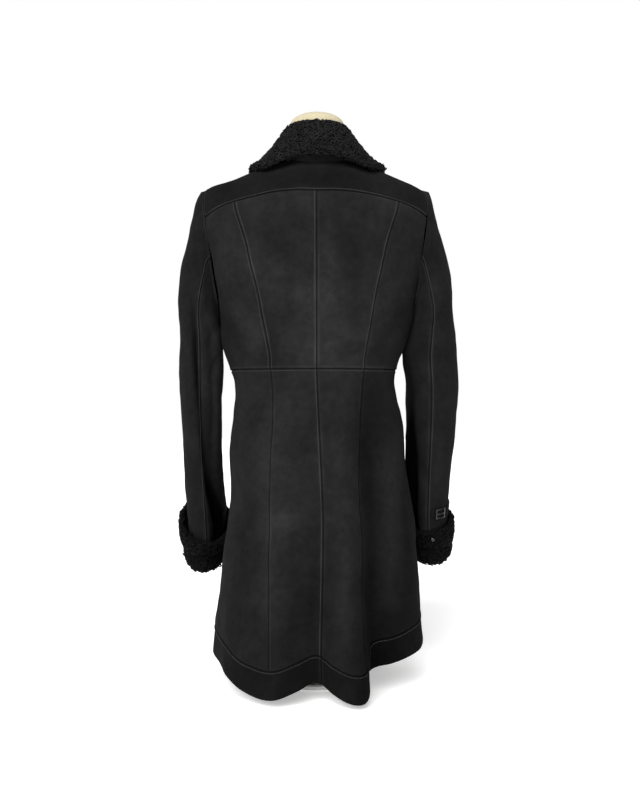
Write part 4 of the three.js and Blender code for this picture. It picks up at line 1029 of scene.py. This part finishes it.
def straight_seam(side, round_again=0):
    """A side seam, straight down from the armpit; the left one comes again after a turn round the body."""
    angle = float(armhole_edge(side, 180)[0]) + round_again
    return lambda z: angle + 0 * z


GORE_EDGES = {
    "side_left": gore_edge(straight_seam("left")),
    "left": gore_edge(back_seam(1)),
    "middle": gore_edge(back_seam(2)),
    "crest": gore_edge(back_seam(3, -8)),
    "right": gore_edge(back_seam(3)),
    "valley": gore_edge(back_seam(3, 14)),
    "side_right": gore_edge(straight_seam("right")),
    "lap_far": gore_edge(lap_line("far")),
    "lap_near": gore_edge(lap_line("near")),
    "lap_step": gore_edge(lap_line("step")),
    "side_left_again": gore_edge(straight_seam("left", 360)),
}
GORES = [
    # name, edges, flat size and area, ridges (left, right, low, high)
    ("side_back_left", ["side_left", "left"], (0.235, 0.485), 0.078, (0.5, 0.15, 0.3, 0.3)),
    ("centre_back_left", ["left", "middle"], (0.135, 0.49), 0.045, (0.5, 0.9, 0.3, 0.3)),
    ("centre_back_right", ["middle", "crest", "right"], (0.13, 0.5), 0.039, (0.5, 0.4, 0.3, 0.3)),
    ("side_back_right", ["right", "valley", "side_right"], (0.24, 0.5), 0.078, (0.1, 0.5, 0.3, 0.3)),
    ("front_right", ["side_right", "lap_far", "lap_near"], (0.33, 0.47), 0.122, (1, None, 0.4, 0.8)),
    ("front_left", ["lap_far", "lap_near", "lap_step", "side_left_again"],
     (0.33, 0.47), 0.122, (None, 1, 0.4, 0.8)),
]
# the side gore behind the right princess seam takes the darker suede: painted shade where it turns from the
# light
for name, edges, flat, area, ridges in GORES:
    body_panel(
        f"skirt_{name}_suede", [GORE_EDGES[edge] for edge in edges], band_z, waist,
        suede_side if name == "side_back_right" else suede_back, ridges=ridges,
        inset=under_lap if name == "front_left" else None,
        stitched=["high", "right"] if name == "centre_back_left" else ["high"],
    )

# Hem band: a strip of the same suede sewn on below the gores, joined at the side seams and the middle of
# the back, darker than the gores and, like them, painted darker towards the hem.
HEM_BANDS = [
    # name, angle at one end and at the other, flat length, ridges at its ends, gore above it
    ("hem_back_left", "side_left", "middle", 0.27, (0.8, 0.8), "skirt_centre_back_left"),
    ("hem_back_right", "middle", "side_right", 0.31, (0.8, 0.8), "skirt_centre_back_right"),
    ("hem_front_right", "side_right", "lap_near", 0.27, (1, None), "skirt_front_right"),
    ("hem_front_left", "lap_far", "side_left_again", 0.27, (None, 1), "skirt_front_left"),
]


def foot_angle(edge):
    return float(GORE_EDGES[edge](np.array([0.0]))[0][0])


for name, first, last, length, ends, above in HEM_BANDS:
    fine = np.linspace(foot_angle(first), foot_angle(last), 300)
    angle = spread_along(body_point(fine, hem_z(fine)), fine)[None, :]
    z = hem_z(angle) + BAND_DEPTH * shares(BAND_DEPTH)[:, None]
    angle = np.broadcast_to(angle, z.shape)
    points, normals = body_point(angle, z), body_normal(angle, z)
    if name == "hem_front_left":
        points = points - normals * under_lap(angle, z)[..., None]
    points, nap_and_painted_light = creased(points, normals)
    band = cloth_shell(
        name + "_suede", points, normals, [suede_band, fleece],
        ridges=(*ends, None, 1), nap_and_painted_light=nap_and_painted_light, stitched=["high"],
    )
    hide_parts(name)

# Sleeves: two-piece sleeves, a wide top piece and a narrow under piece, set into the armholes. They hang
# forward from the elbow and crease behind it.
SLEEVES = {
    # outer x and z, inner x and z, middle y, half depth, drop of the back
    "left": np.array([
        (0.203, 0.855, 0.169, 0.6335, -0.006, 0.0575, 0),
        (0.212, 0.835, 0.1695, 0.6315, -0.006, 0.061, 0),
        (0.22, 0.797, 0.17, 0.629, -0.006, 0.064, 0),
        (0.231, 0.75, 0.17, 0.626, -0.006, 0.066, 0),
        (0.239, 0.7, 0.17, 0.622, -0.006, 0.066, 0),
        (0.242, 0.655, 0.1695, 0.614, -0.006, 0.065, 0),
        (0.2424, 0.612, 0.1665, 0.596, -0.007, 0.063, 0),
        (0.2418, 0.568, 0.166, 0.56, -0.009, 0.061, 0.001),
        (0.2409, 0.52, 0.1673, 0.516, -0.012, 0.059, 0.003),
        (0.2391, 0.47, 0.1678, 0.468, -0.017, 0.057, 0.006),
        (0.238, 0.42, 0.1683, 0.42, -0.026, 0.055, 0.011),
        (0.2368, 0.37, 0.1674, 0.371, -0.039, 0.053, 0.017),
        (0.2359, 0.32, 0.1655, 0.322, -0.057, 0.051, 0.022),
        (0.235, 0.275, 0.166, 0.277, -0.076, 0.049, 0.025),
        (0.231, 0.247, 0.172, 0.249, -0.089, 0.0445, 0.026),
    ]),
    "right": np.array([
        (0.196, 0.855, 0.167, 0.6335, -0.006, 0.0575, 0),
        (0.204, 0.835, 0.1675, 0.6315, -0.006, 0.061, 0),
        (0.212, 0.797, 0.168, 0.629, -0.006, 0.064, 0),
        (0.223, 0.75, 0.168, 0.626, -0.006, 0.066, 0),
        (0.233, 0.7, 0.168, 0.622, -0.006, 0.066, 0),
        (0.239, 0.655, 0.1665, 0.614, -0.006, 0.065, 0),
        (0.2425, 0.612, 0.1595, 0.596, -0.007, 0.063, 0),
        (0.245, 0.568, 0.1535, 0.56, -0.009, 0.061, 0.001),
        (0.2475, 0.52, 0.1565, 0.516, -0.013, 0.059, 0.003),
        (0.2475, 0.47, 0.1574, 0.468, -0.021, 0.057, 0.005),
        (0.2445, 0.42, 0.1595, 0.42, -0.032, 0.055, 0.008),
        (0.2405, 0.37, 0.1615, 0.371, -0.046, 0.053, 0.011),
        (0.237, 0.32, 0.164, 0.322, -0.062, 0.051, 0.014),
        (0.235, 0.277, 0.168, 0.279, -0.08, 0.0485, 0.016),
        (0.231, 0.253, 0.174, 0.255, -0.091, 0.0445, 0.017),
    ]),
}
SLEEVE_FOLDS = {
    # turn, out, width in degrees, share of the length where it starts and ends
    "left": [
        (128, -0.009, 17, 0.34, 1.1),
        (100, 0.004, 16, 0.3, 1.1),
        (300, -0.004, 18, 0.35, 1),
    ],
    "right": [
        (140, -0.005, 16, 0.36, 1.1),
        (108, 0.003, 18, 0.3, 1.1),
        (300, -0.004, 18, 0.35, 1),
    ],
}
SLEEVE_SEAM = {"back": 98, "under": 262}
SLEEVE_CREASES = {
    # corners of its line as (turn, step), height (a trough is negative), width, how much painted shade it
    # takes (below 0 paints it lighter)
    "left": [
        ([(79, 4.2), (83, 6.0), (85, 7.2), (94, 8.5), (99, 9.5), (105, 10.4)], -0.0050, 0.0085, 1.1),
        ([(99, 9.5), (105, 10.4), (119, 11.6), (134, 12.6), (138, 13.4)], -0.0062, 0.0115, 1.1),
        ([(108, 4.6), (114, 7.0), (122, 9.6), (132, 10.8)], 0.0028, 0.010, -0.12),
        ([(136, 5.6), (118, 6.8)], -0.0034, 0.008, 0.2),
        ([(152, 6.8), (122, 7.8)], -0.0030, 0.007, 0.2),
        ([(60, 11.9), (92, 12.6), (118, 12.7)], 0.0026, 0.008, -0.1),
        ([(34, 6.2), (66, 7.4)], -0.0018, 0.009, 0.15),
        ([(222, 6.4), (252, 7.6)], -0.0030, 0.008, 0.2),
        ([(215, 7.6), (262, 8.6)], -0.0026, 0.008, 0.2),
        ([(300, 5.0), (318, 9.0), (300, 12.5)], -0.0030, 0.011, 0.25),
        ([(40, 1.2), (86, 2.6)], -0.0020, 0.010, 0.1),
        ([(110, 1.2), (128, 4.0)], -0.0022, 0.010, 0.2),
    ],
    "right": [
        ([(160, 7.0), (155, 10.2), (150, 11.4), (145, 12.4), (142, 13.4)], -0.0060, 0.014, 0.75),
        ([(178, 3.2), (178, 7.0)], 0.0095, 0.026, 0.2),
        ([(178, 10.2), (178, 12.4)], 0.0070, 0.026, 0.2),
        ([(118, 5.4), (114, 8.5), (118, 12.4)], 0.0022, 0.010, -0.1),
        ([(128, 5.4), (100, 7.0)], -0.0030, 0.008, 0.2),
        ([(146, 6.6), (112, 8.1)], -0.0026, 0.008, 0.2),
        ([(72, 9.2), (98, 10.4)], -0.0018, 0.008, 0.15),
        ([(130, 10.4), (96, 11.4)], -0.0024, 0.007, 0.15),
        ([(222, 6.4), (252, 7.6)], -0.0030, 0.008, 0.2),
        ([(215, 7.6), (262, 8.6)], -0.0026, 0.008, 0.2),
        ([(300, 5.0), (318, 9.0), (300, 12.5)], -0.0030, 0.011, 0.25),
        ([(44, 1.0), (84, 2.4)], -0.0020, 0.010, 0.1),
        ([(110, 1.2), (130, 4.0)], -0.0026, 0.011, 0.2),
    ],
}
# Painted light and shade on the sleeves: the left sleeve's inner strip lighter, and darker towards the cuffs
# and down the inner sides, where the sleeves turn from the light and lie by the body.
SLEEVE_SHADE = {
    # turn, half width in degrees, step where it starts, how much lighter (+) or darker (-) it is painted
    # there
    "left": [(140, 30, 2.0, 1.3), (20, 30, 0.0, -0.1), (138, 27, 9.4, -2.3)],
    "right": [(152, 32, 4.6, -0.25), (152, 34, 8.6, -0.6), (20, 30, 0.0, -0.12)],
}
SLEEVE_LIGHTEST = 2.4
SLEEVE_LENGTH, SLEEVE_GIRTH = 0.72, 0.34
SLEEVE_HEAD = 0.93  # how far above its first ring a sleeve runs on into the armhole, in steps
SLEEVE_RIDGES = {"left": (0.45, 0.45, 0, 1), "right": (0.8, 0.8, 0, 1)}
# the sleeves' darker suede is painted shade, the left one darker still
SLEEVE_SUEDE = {"left": suede("suede_sleeve_left", 0.7), "right": suede_sleeve}


def sleeve_point(side, turn, step):
    """Points on a sleeve's outer face; steps count down the arm from the armhole."""
    table = np.concatenate([np.arange(len(SLEEVES[side]))[:, None], SLEEVES[side]], 1)
    sign = 1 if side == "left" else -1

    def ring(turn):
        sizes = [curve_through(table, np.maximum(step, 0), column) for column in range(1, 8)]
        out_x, out_z, in_x, in_z, mid_y, half, dip = sizes
        outward = (1 + np.cos(np.radians(turn))) / 2
        back = np.sin(np.radians(turn))
        x = in_x + (out_x - in_x) * outward
        z = in_z + (out_z - in_z) * outward - dip * back
        return np.stack([sign * x, mid_y + half * back, z], -1)

    turn, step = np.broadcast_arrays(np.asarray(turn, float), np.asarray(step, float))
    points = ring(turn)
    middle = (ring(0 * turn) + ring(0 * turn + 180)) / 2
    away = unit(points - middle)
    share = np.maximum(step, 0) / (len(table) - 1)
    for at, out, wide, start, stop in SLEEVE_FOLDS[side]:
        t = np.clip((share - start) / (stop - start), 0, 1)
        swell = np.sin(np.minimum(t * 1.35, 1) * math.pi / 2)
        points = points + away * (out * swell * np.exp(-(((turn % 360 - at) / wide) ** 2)))[..., None]
    axis = np.array([*NECK_AXIS, 0])
    head = body_point(*armhole_edge(side, turn))
    near = np.clip(1 + step, 0, 1)[..., None]
    return np.where(step[..., None] < 0, head + (points + axis - head) * near, points + axis)


def sleeve_normal(side, turn, step):
    sign = 1 if side == "left" else -1
    across = sleeve_point(side, turn + 0.6, step) - sleeve_point(side, turn - 0.6, step)
    down = sleeve_point(side, turn, step + 0.03) - sleeve_point(side, turn, np.maximum(step - 0.03, -0.96))
    return unit(-sign * np.cross(across, down))


GIRTH, RING_DROP = 0.32, 0.05  # about one turn round a sleeve, and one step down it


def sleeve_creases(side, turn, step):
    """Folds laid on a sleeve, each along a bent line: their heights, and the painted shade in them."""
    height, dark = np.zeros(turn.shape), np.zeros(turn.shape)
    here = np.stack([turn / 360 * GIRTH, step * RING_DROP], -1)
    for corners, tall, wide, darker in SLEEVE_CREASES[side]:
        line = np.array(corners) * [GIRTH / 360, RING_DROP]
        lengths = np.linalg.norm(np.diff(line, axis=0), axis=-1)
        starts = np.concatenate([[0], np.cumsum(lengths)]) / lengths.sum()
        near, at = np.full(turn.shape, 9.0), np.zeros(turn.shape)
        for a, b, s0, s1 in zip(line[:-1], line[1:], starts[:-1], starts[1:]):
            t = np.clip(((here - a) @ (b - a)) / ((b - a) @ (b - a)), 0, 1)
            far = np.linalg.norm(here - (a + t[..., None] * (b - a)), axis=-1)
            at = np.where(far < near, s0 + (s1 - s0) * t, at)
            near = np.minimum(near, far)
        fade = np.sin(math.pi * np.clip((at + 0.1) / 1.2, 0, 1)) ** 0.8 * (0.55 + 0.45 * at)
        height += tall * fade * np.exp(-((near / wide) ** 2))
        dark += darker * fade * np.exp(-((near / wide) ** 2))
    return height, dark


def sleeve_painted_light(side, turn, step, dark):
    """How light a sleeve's suede is painted: darker in its creases, and lighter or darker where its shade
    rows say.
    """
    nap_and_painted_light = 1 - dark
    for at, wide, start, lighter in SLEEVE_SHADE[side]:
        nap_and_painted_light += lighter * np.exp(-(((turn - at) / wide) ** 2)) * np.clip((step - start) / 3, 0, 1)
    return np.clip(nap_and_painted_light, NAP_AND_LIGHT_DARKEST, SLEEVE_LIGHTEST)


def sleeve_half(name, side, first, last):
    """The top or the under piece of a sleeve, from one seam to the other."""
    steps = len(SLEEVES[side]) - 1
    rows = steps - shares(SLEEVE_LENGTH) * (steps + SLEEVE_HEAD)
    columns = first + shares(SLEEVE_GIRTH * abs(last - first) / 360) * (last - first)
    if side == "right":
        columns = columns[::-1]
    turn, step = np.meshgrid(columns, rows)
    normals = sleeve_normal(side, turn, step)
    raised, dark = sleeve_creases(side, turn % 360, step)
    points = sleeve_point(side, turn, step) + normals * raised[..., None]
    piece = cloth_shell(
        name + "_suede", points, normals, [SLEEVE_SUEDE[side], fleece], ridges=SLEEVE_RIDGES[side],
        nap_and_painted_light=sleeve_painted_light(side, turn % 360, step, dark), stitched=["left", "right"] if "top" in name else [],
    )
    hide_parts(name)


for side in ("left", "right"):
    back, under = SLEEVE_SEAM["back"], SLEEVE_SEAM["under"]
    sleeve_half("sleeve_top_" + side, side, under - 360, back)
    sleeve_half("sleeve_under_" + side, side, back, under)

# Cuffs: the sleeve's end turned back on itself, so that the curly wool shows. The wool is short locks, each
# curled on itself, over a mat of the same wool.
TURNED_SKIN = 0.007
CUFFS = {
    # z, lean, outer x, inner x, middle y, half depth, drop of the back; from the roll to the top edge
    "left": np.array([
        (0.227, 0, 0.243, 0.165, -0.095, 0.054, 0.024),
        (0.249, 0.004, 0.249, 0.158, -0.086, 0.058, 0.029),
        (0.269, 0.008, 0.25, 0.154, -0.077, 0.06, 0.036),
    ]),
    "right": np.array([
        (0.232, 0, 0.246, 0.167, -0.099, 0.0555, 0.016),
        (0.253, 0.002, 0.249, 0.162, -0.09, 0.058, 0.019),
        (0.273, 0.003, 0.2485, 0.16, -0.081, 0.059, 0.022),
    ]),
}
CUFF_TUCK = {"left": 0.0024, "right": 0.0046}
LOCK = {
    "radius": 0.0027, "thick": 0.00125, "rise": 0.0042, "rooted": 0.0006,
    "turns": 1.3, "rings": 10, "sides": 3,
}
LOCK_COLOURS = {
    "low": (0.0024, 0.0023, 0.0024), "high": (0.0062, 0.006, 0.0062), "tip": (0.013, 0.0127, 0.013),
}
WOOL_DEPTH = 0.0035  # how far the skin lies under the tips of the wool
WOOL_MAT = TURNED_SKIN - WOOL_DEPTH  # the skin and the mat of wool on it, without the locks
NUB = 0.0007  # how high the mat stands up in nubs
FACE_LOCKS = 2300
EDGE_LOCKS = 335
LOCKS_FROM = 2.2  # the ring of the cuff, from inside the sleeve's end, where its locks start


def cuff_point(side, share_round, k):
    """Points in the middle of the cuff's skin; k counts its rings from inside the sleeve to the top edge."""
    sign = 1 if side == "left" else -1
    end = SLEEVES[side][-1]
    wrist = [(end[0] + end[2]) / 2, end[4], (end[1] + end[3]) / 2, (end[0] - end[2]) / 2, end[5], end[6], 0]
    rows = [wrist]
    for z, lean, out_x, in_x, mid_y, half, dip in CUFFS[side]:
        rows.append([(out_x + in_x) / 2, mid_y, z, (out_x - in_x) / 2, half, dip, lean])
    wrist, low, mid, top = (np.array(row) - [0, 0, 0, TURNED_SKIN / 2, TURNED_SKIN / 2, 0, 0] for row in rows)

    def smaller(row, by, down):
        return row - [0, 0, down, by, by, 0, 0]

    rings = [
        smaller(wrist, 0, CUFF_TUCK[side]), smaller(wrist, 0, 0.012), smaller(low, 0.013, 0.01),
        smaller(low, 0.006, 0.017), smaller(low, 0.0015, 0.013), smaller(low, 0, 0.003),
        smaller(low, -0.0015, -0.009), mid, (mid + top) / 2, top,
    ]
    table = np.concatenate([np.arange(len(rings))[:, None], np.array(rings)], 1)
    x, y, z, half_x, half_y, dip, lean = (curve_through(table, k, column) for column in range(1, 8))
    turn = 2 * math.pi * share_round * (1 if side == "left" else -1)
    c, s = np.cos(turn), np.sin(turn)
    return np.stack([
        sign * (x + half_x * c) + NECK_AXIS[0], y + half_y * s + NECK_AXIS[1], z + lean * c - dip * s,
    ], -1)


def surface_normal(points, around):
    """Outward directions over a grid of points."""
    across = np.roll(points, -1, 1) - np.roll(points, 1, 1) if around else np.gradient(points, axis=1)
    return unit(np.cross(across, np.gradient(points, axis=0)))


def curly_wool(name, gleam=1.0):
    """Glossy-tipped black locks, dark between them."""
    material, tree, shader = new_material(name)
    colours = {part: tuple(gleam * value for value in colour) for part, colour in LOCK_COLOURS.items()}
    tint = colour_steps(tree, noise(tree, 120, detail=3), [(0.35, colours["low"]), (0.68, colours["high"])])
    set_inputs(tree, shader, {
        "Base Color": blend(tree, attribute(tree, "tip"), tint, colours["tip"]),
        "Roughness": 0.6,
        "Specular IOR Level": 0.15 * gleam,
        "Normal": bump(tree, noise(tree, 2600), depth=0.0003, strength=0.7),
    })
    return material


def scatter(points, normals, keep, dice):
    """Even places on the kept part of a grid: their points, outward directions and directions across."""
    a, b, d = points[:-1, :-1], points[:-1, 1:], points[1:, :-1]
    area = np.linalg.norm(np.cross(b - a, d - a), axis=-1) * keep[:-1, :-1]
    chance = np.cumsum(area.ravel())
    stratum = (np.arange(FACE_LOCKS) + dice.random(FACE_LOCKS)) / FACE_LOCKS
    cell = np.clip(np.searchsorted(chance, stratum * chance[-1]), 0, area.size - 1)
    row, column = np.divmod(cell, area.shape[1])
    u, v = dice.random((2, FACE_LOCKS, 1))
    place = points[row, column] * (1 - u) * (1 - v) + points[row, column + 1] * u * (1 - v)
    place = place + points[row + 1, column] * (1 - u) * v + points[row + 1, column + 1] * u * v
    across = points[row, column + 1] - points[row, column]
    return place, normals[row, column], across


def along_edge(points, normals, dice):
    """Places along a grid's free edge and through its thickness, where the wool hangs on past it."""
    at = (np.arange(EDGE_LOCKS) + dice.random(EDGE_LOCKS)) / EDGE_LOCKS * (points.shape[1] - 1)
    left = at.astype(int)
    share = (at - left)[:, None]
    rows = points[-1], points[-3], normals[-1]
    edge, before, out = (row[left] * (1 - share) + row[left + 1] * share for row in rows)
    direction = unit(edge - before) + out * dice.uniform(-0.4, 0.9, (EDGE_LOCKS, 1))
    place = edge - out * WOOL_MAT * dice.uniform(0.1, 0.8, (EDGE_LOCKS, 1))
    return place, unit(direction), points[-1][left + 1] - points[-1][left]


def wool_locks(name, skin, out, keep, material, dice):
    """Short curled locks over the kept part of a wool face and along its free edge, as one piece."""
    spots, ends = scatter(skin, out, keep, dice), along_edge(skin, out, dice)
    points, normals, across = (np.concatenate(pair) for pair in zip(spots, ends))
    count = len(points)
    rings, sides = LOCK["rings"], LOCK["sides"]
    t = np.linspace(0, 1, rings)
    spin = dice.choice([-1, 1], (count, 1))
    start = dice.uniform(0, 2 * math.pi, (count, 1))
    size = dice.uniform(0.75, 1.3, (count, 1))
    turn = start + spin * 2 * math.pi * LOCK["turns"] * dice.uniform(0.8, 1.2, (count, 1)) * t
    across = unit(across - normals * np.sum(across * normals, -1, keepdims=True))
    up = np.cross(normals, across)
    tilt = dice.normal(0, 0.35, (count, 2))
    radius = LOCK["radius"] * size * (0.35 + 0.75 * np.sin(math.pi * np.clip(t * 0.8 + 0.1, 0, 1)))
    rise = LOCK["rise"] * size * np.sin(t * math.pi * 0.62) / math.sin(math.pi * 0.62)
    line = (
        points[:, None]
        + across[:, None] * (radius * np.cos(turn) + rise * tilt[:, :1])[..., None]
        + up[:, None] * (radius * np.sin(turn) + rise * tilt[:, 1:])[..., None]
        + normals[:, None] * (rise - LOCK["rooted"])[..., None]
    )
    along = unit(np.gradient(line, axis=1))
    side_way = unit(np.cross(along, normals[:, None] + 0.01))
    other_way = np.cross(along, side_way)
    swell = 0.02 + np.sin(math.pi * np.clip(t * 0.98 + 0.01, 0, 1)) ** 0.6
    thick = LOCK["thick"] * size[..., None] * swell[None, :, None]
    ring = 2 * math.pi * np.arange(sides) / sides
    tube = (
        line[:, :, None]
        + side_way[:, :, None] * (thick[..., None] * np.cos(ring)[None, None, :, None])
        + other_way[:, :, None] * (thick[..., None] * np.sin(ring)[None, None, :, None])
    )
    index = np.arange(count * rings * sides).reshape(count, rings, sides)
    beside = np.roll(index, -1, 2)
    faces = np.stack([index[:, :-1], beside[:, :-1], beside[:, 1:], index[:, 1:]], -1).reshape(-1, 4)
    tips = (t**2)[None, :, None] * dice.uniform(0.0, 0.9, (count, 1, 1))
    tips = np.broadcast_to(tips, (count, rings, sides)).ravel()
    piece = mesh_piece(name, tube.reshape(-1, 3), faces, [material], values={"tip": tips})


locks_black = curly_wool("locks_black")
locks_cuff = curly_wool("locks_cuff", 0.45)
for seed, side in ((40, "left"), (41, "right")):
    dice = np.random.default_rng(seed)
    rows, columns = np.linspace(0, 9, 58), np.linspace(0, 1, 108, endpoint=False)
    share_round, k = np.meshgrid(columns, rows)
    middle = cuff_point(side, share_round, k)
    out = surface_normal(middle, True)
    nubs = NUB * np.sin(share_round * 230 + 5 * np.sin(k * 5)) * np.sin(k * 11 + 3 * np.sin(share_round * 60))
    skin = middle + out * (TURNED_SKIN / 2 - WOOL_DEPTH + nubs)[..., None]
    cuff = cloth_shell(
        f"cuff_{side}_skin", skin, out, [fleece, suede_sleeve], ridges=(0, 0, None, None),
        thick=WOOL_MAT, around=True, waves=0.6,
    )
    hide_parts(f"cuff_{side}")
    closed = np.concatenate([np.arange(skin.shape[1]), [0]])
    keep = k[:, closed] > LOCKS_FROM
    wool_locks(f"cuff_{side}_locks", skin[:, closed], out[:, closed], keep, locks_cuff, dice)

# Collar: two halves of the same skin joined behind, cut in one with their stand. It stands up round the
# neck, folds over and spreads on the shoulders, wool side out.
COLLAR = np.array([
    # turn from the middle of the back, fold x y z, free edge x y z, swell
    (0, 0, 0.072, 0.957, 0, 0.088, 0.899, 0.005),
    (28, 0.038, 0.066, 0.953, 0.046, 0.087, 0.893, 0.005),
    (58, 0.059, 0.04, 0.935, 0.094, 0.076, 0.878, 0.002),
    (90, 0.068, 0.002, 0.917, 0.124, 0.006, 0.8905, -0.002),
    (118, 0.076, -0.046, 0.899, 0.112, -0.064, 0.877, 0.001),
    (145, 0.046, -0.075, 0.88, 0.084, -0.104, 0.832, 0.004),
    (172, 0.013, -0.097, 0.862, 0.053, -0.127, 0.78, 0.004),
])


def collar_point(side, turn, v):
    """Points in the middle of the collar's skin, from the neck seam over the fold to the free edge."""
    mirrored = COLLAR[1] * [-1, -1, 1, 1, -1, 1, 1, 1]
    table = np.concatenate([mirrored[None], COLLAR])
    columns = [curve_through(table, turn, column) for column in range(1, 8)]
    fold, edge = np.stack(columns[0:3], -1), np.stack(columns[3:6], -1)
    swell = columns[6][..., None]
    neck = body_point(90 - turn, neckline_z(90 - turn)) - [*NECK_AXIS, 0]
    flat = neck * [1, 1, 0]
    neck = neck - unit(flat) * SKIN / 2
    away = unit((edge - neck) * [1, 1, 0])
    roll = 0.008
    stand_top = fold - away * roll * 0.8 - [0, 0, roll * 0.9]
    stand = stand_top - neck
    lean = np.linalg.norm(stand[..., :2], axis=-1) / np.linalg.norm(stand, axis=-1)
    neck = neck + [0, 0, 1] * (2 * SEAM_GAP + lean * TURNED_SKIN / 2)[..., None]
    leaf_top = fold + away * roll * 1.05 - [0, 0, roll * 0.8]
    leaf_middle = (leaf_top + edge) / 2 + away * swell + [0, 0, 1] * swell * 0.8
    path = np.stack([
        2 * neck - stand_top, neck, stand_top, fold, leaf_top, leaf_middle, edge, 2 * edge - leaf_middle,
    ])
    reach = np.broadcast_to(v * 5, turn.shape)
    i = np.clip(np.floor(reach).astype(int), 0, 4)
    t = (reach - i)[..., None]
    rows, columns = np.indices(turn.shape)
    a, b, c, d = (path[i + k, rows, columns] for k in range(4))
    bend = 0.5 * (2 * b + (c - a) * t + (2 * a - 5 * b + 4 * c - d) * t**2 + (3 * b - a - 3 * c + d) * t**3)
    return bend * [1 if side == "left" else -1, 1, 1] + [*NECK_AXIS, 0]


COLLAR_END = {"ends": 0.95, "side": 0.915}  # where along its form the skin stops; the wool hangs on past it
COLLAR_REST = 0.007  # how much nearer the back the leaf's free edge lies behind than its solid does
for seed, side in ((60, "left"), (61, "right")):
    dice = np.random.default_rng(seed)
    columns = np.linspace(0, COLLAR[-1, 0], 90)
    turn, v = np.meshgrid(columns if side == "left" else columns[::-1], np.linspace(0, 1, 60))
    beside = np.exp(-(((turn - 92) / 34) ** 2))
    v = v * (COLLAR_END["ends"] + (COLLAR_END["side"] - COLLAR_END["ends"]) * beside)
    middle = collar_point(side, turn, v)
    middle[..., 1] -= COLLAR_REST * np.exp(-((turn / 55) ** 2)) * np.clip(v * 2.5 - 1.5, 0, 1)
    out = surface_normal(middle, False)
    nubs = NUB * np.sin(turn * 1.9 + 5 * np.sin(v * 31)) * np.sin(v * 80 + 3 * np.sin(turn * 0.7))
    skin = middle + out * (TURNED_SKIN / 2 - WOOL_DEPTH + nubs)[..., None]
    collar = cloth_shell(
        f"collar_{side}_skin", skin, out, [fleece, suede_back],
        ridges=(0, None, 0, None) if side == "left" else (None, 0, 0, None), thick=WOOL_MAT, waves=0.5,
    )
    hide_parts(f"collar_{side}")
    wool_locks(f"collar_{side}_locks", skin, out, v > 0.02, locks_black, dice)

# Stitches: black waxed thread, sewn in short even stitches beside each lapped seam, where it holds the
# turned allowance down.
STITCH = {"length": 0.0031, "space": 0.0009, "thick": 0.00034, "sunk": 0.0002}
STITCH_RINGS = np.array([
    # place along a stitch and its space, height and width as shares of the thread's thickness
    (0.02, -1, 0.35),
    (0.2, 1, 1),
    (0.56, 1, 1),
    (0.74, -1, 0.35),
])


def black_thread():
    """Waxed thread with its twist."""
    material, tree, shader = new_material("black_thread")
    twist = texture(tree, "Wave", 420)
    twist.bands_direction = "DIAGONAL"
    ply = twist.outputs["Fac"]
    set_inputs(tree, shader, {
        "Base Color": colour_steps(tree, ply, [(0.2, (0.014, 0.014, 0.014)), (0.8, (0.05, 0.05, 0.05))]),
        "Roughness": 0.6,
        "Normal": bump(tree, ply, depth=0.0001, strength=0.5),
    })
    return material


def stitches(name, lines):
    """Short arched threads set along lines on the cloth, as one piece."""
    parts, faces, start = [], [], 0
    ring = np.array([(-1, 0), (0, 1), (1, 0)])
    arch = STITCH_RINGS[:, 1] * STITCH["thick"] - STITCH["sunk"]
    wide = STITCH_RINGS[:, 2] * STITCH["thick"]
    for points, normals in lines:
        walked = distance_along(points)
        count = int(walked[-1] / (STITCH["length"] + STITCH["space"]))
        at = (np.arange(count)[:, None] + STITCH_RINGS[:, 0]) * walked[-1] / count
        place = np.stack([np.interp(at, walked, points[:, k]) for k in range(3)], -1)
        out = unit(np.stack([np.interp(at, walked, normals[:, k]) for k in range(3)], -1))
        side = np.cross(out, unit(place[:, -1:] - place[:, :1]))
        middle = place + out * arch[:, None]
        tube = middle[:, :, None] + wide[None, :, None, None] * (
            side[:, :, None] * ring[None, None, :, :1] + out[:, :, None] * ring[None, None, :, 1:]
        )
        index = start + np.arange(tube[..., 0].size).reshape(tube.shape[:3])
        for k in range(len(ring) - 1):
            a, b, c, d = index[:, :-1, k], index[:, :-1, k + 1], index[:, 1:, k + 1], index[:, 1:, k]
            faces.append(np.stack([a, b, c, d], -1).reshape(-1, 4))
        parts.append(tube.reshape(-1, 3))
        start += index.size
    piece = mesh_piece(name, np.concatenate(parts), np.concatenate(faces), [black_thread()])


stitches("seam_stitches", stitch_lines)

# Strap, keeper, buckle and stud of the right cuff, and the buttons of the front: a suede strap drawn
# through a small dark steel buckle above the cuff, a steel stud that holds the cuff up, and black horn
# buttons sewn to the front.
dark_steel = cloudy_material(
    "dark_steel", (700, 3), [(0.3, (0.03, 0.03, 0.03)), (0.7, (0.07, 0.07, 0.07))],
    {"Metallic": 1, "Roughness": 0.3}, relief=(0.0001, 0.4),
)
black_horn = cloudy_material(
    "black_horn", (160, 4), [(0.35, (0.006, 0.006, 0.006)), (0.7, (0.02, 0.017, 0.015))], {"Roughness": 0.28},
)
suede_strap = suede("suede_strap", 0.6, reads_nap_and_light=False)
for name in ("strap_buckle", "buckle_prong", "cuff_stud"):
    finish_node(name, dark_steel, bevel=0.0004)
for name in ("cuff_strap", "strap_keeper"):
    finish_node(name, suede_strap, bevel=0.0005)
for number in range(1, 5):
    finish_node(f"button_{number}", black_horn, bevel=0.0008)
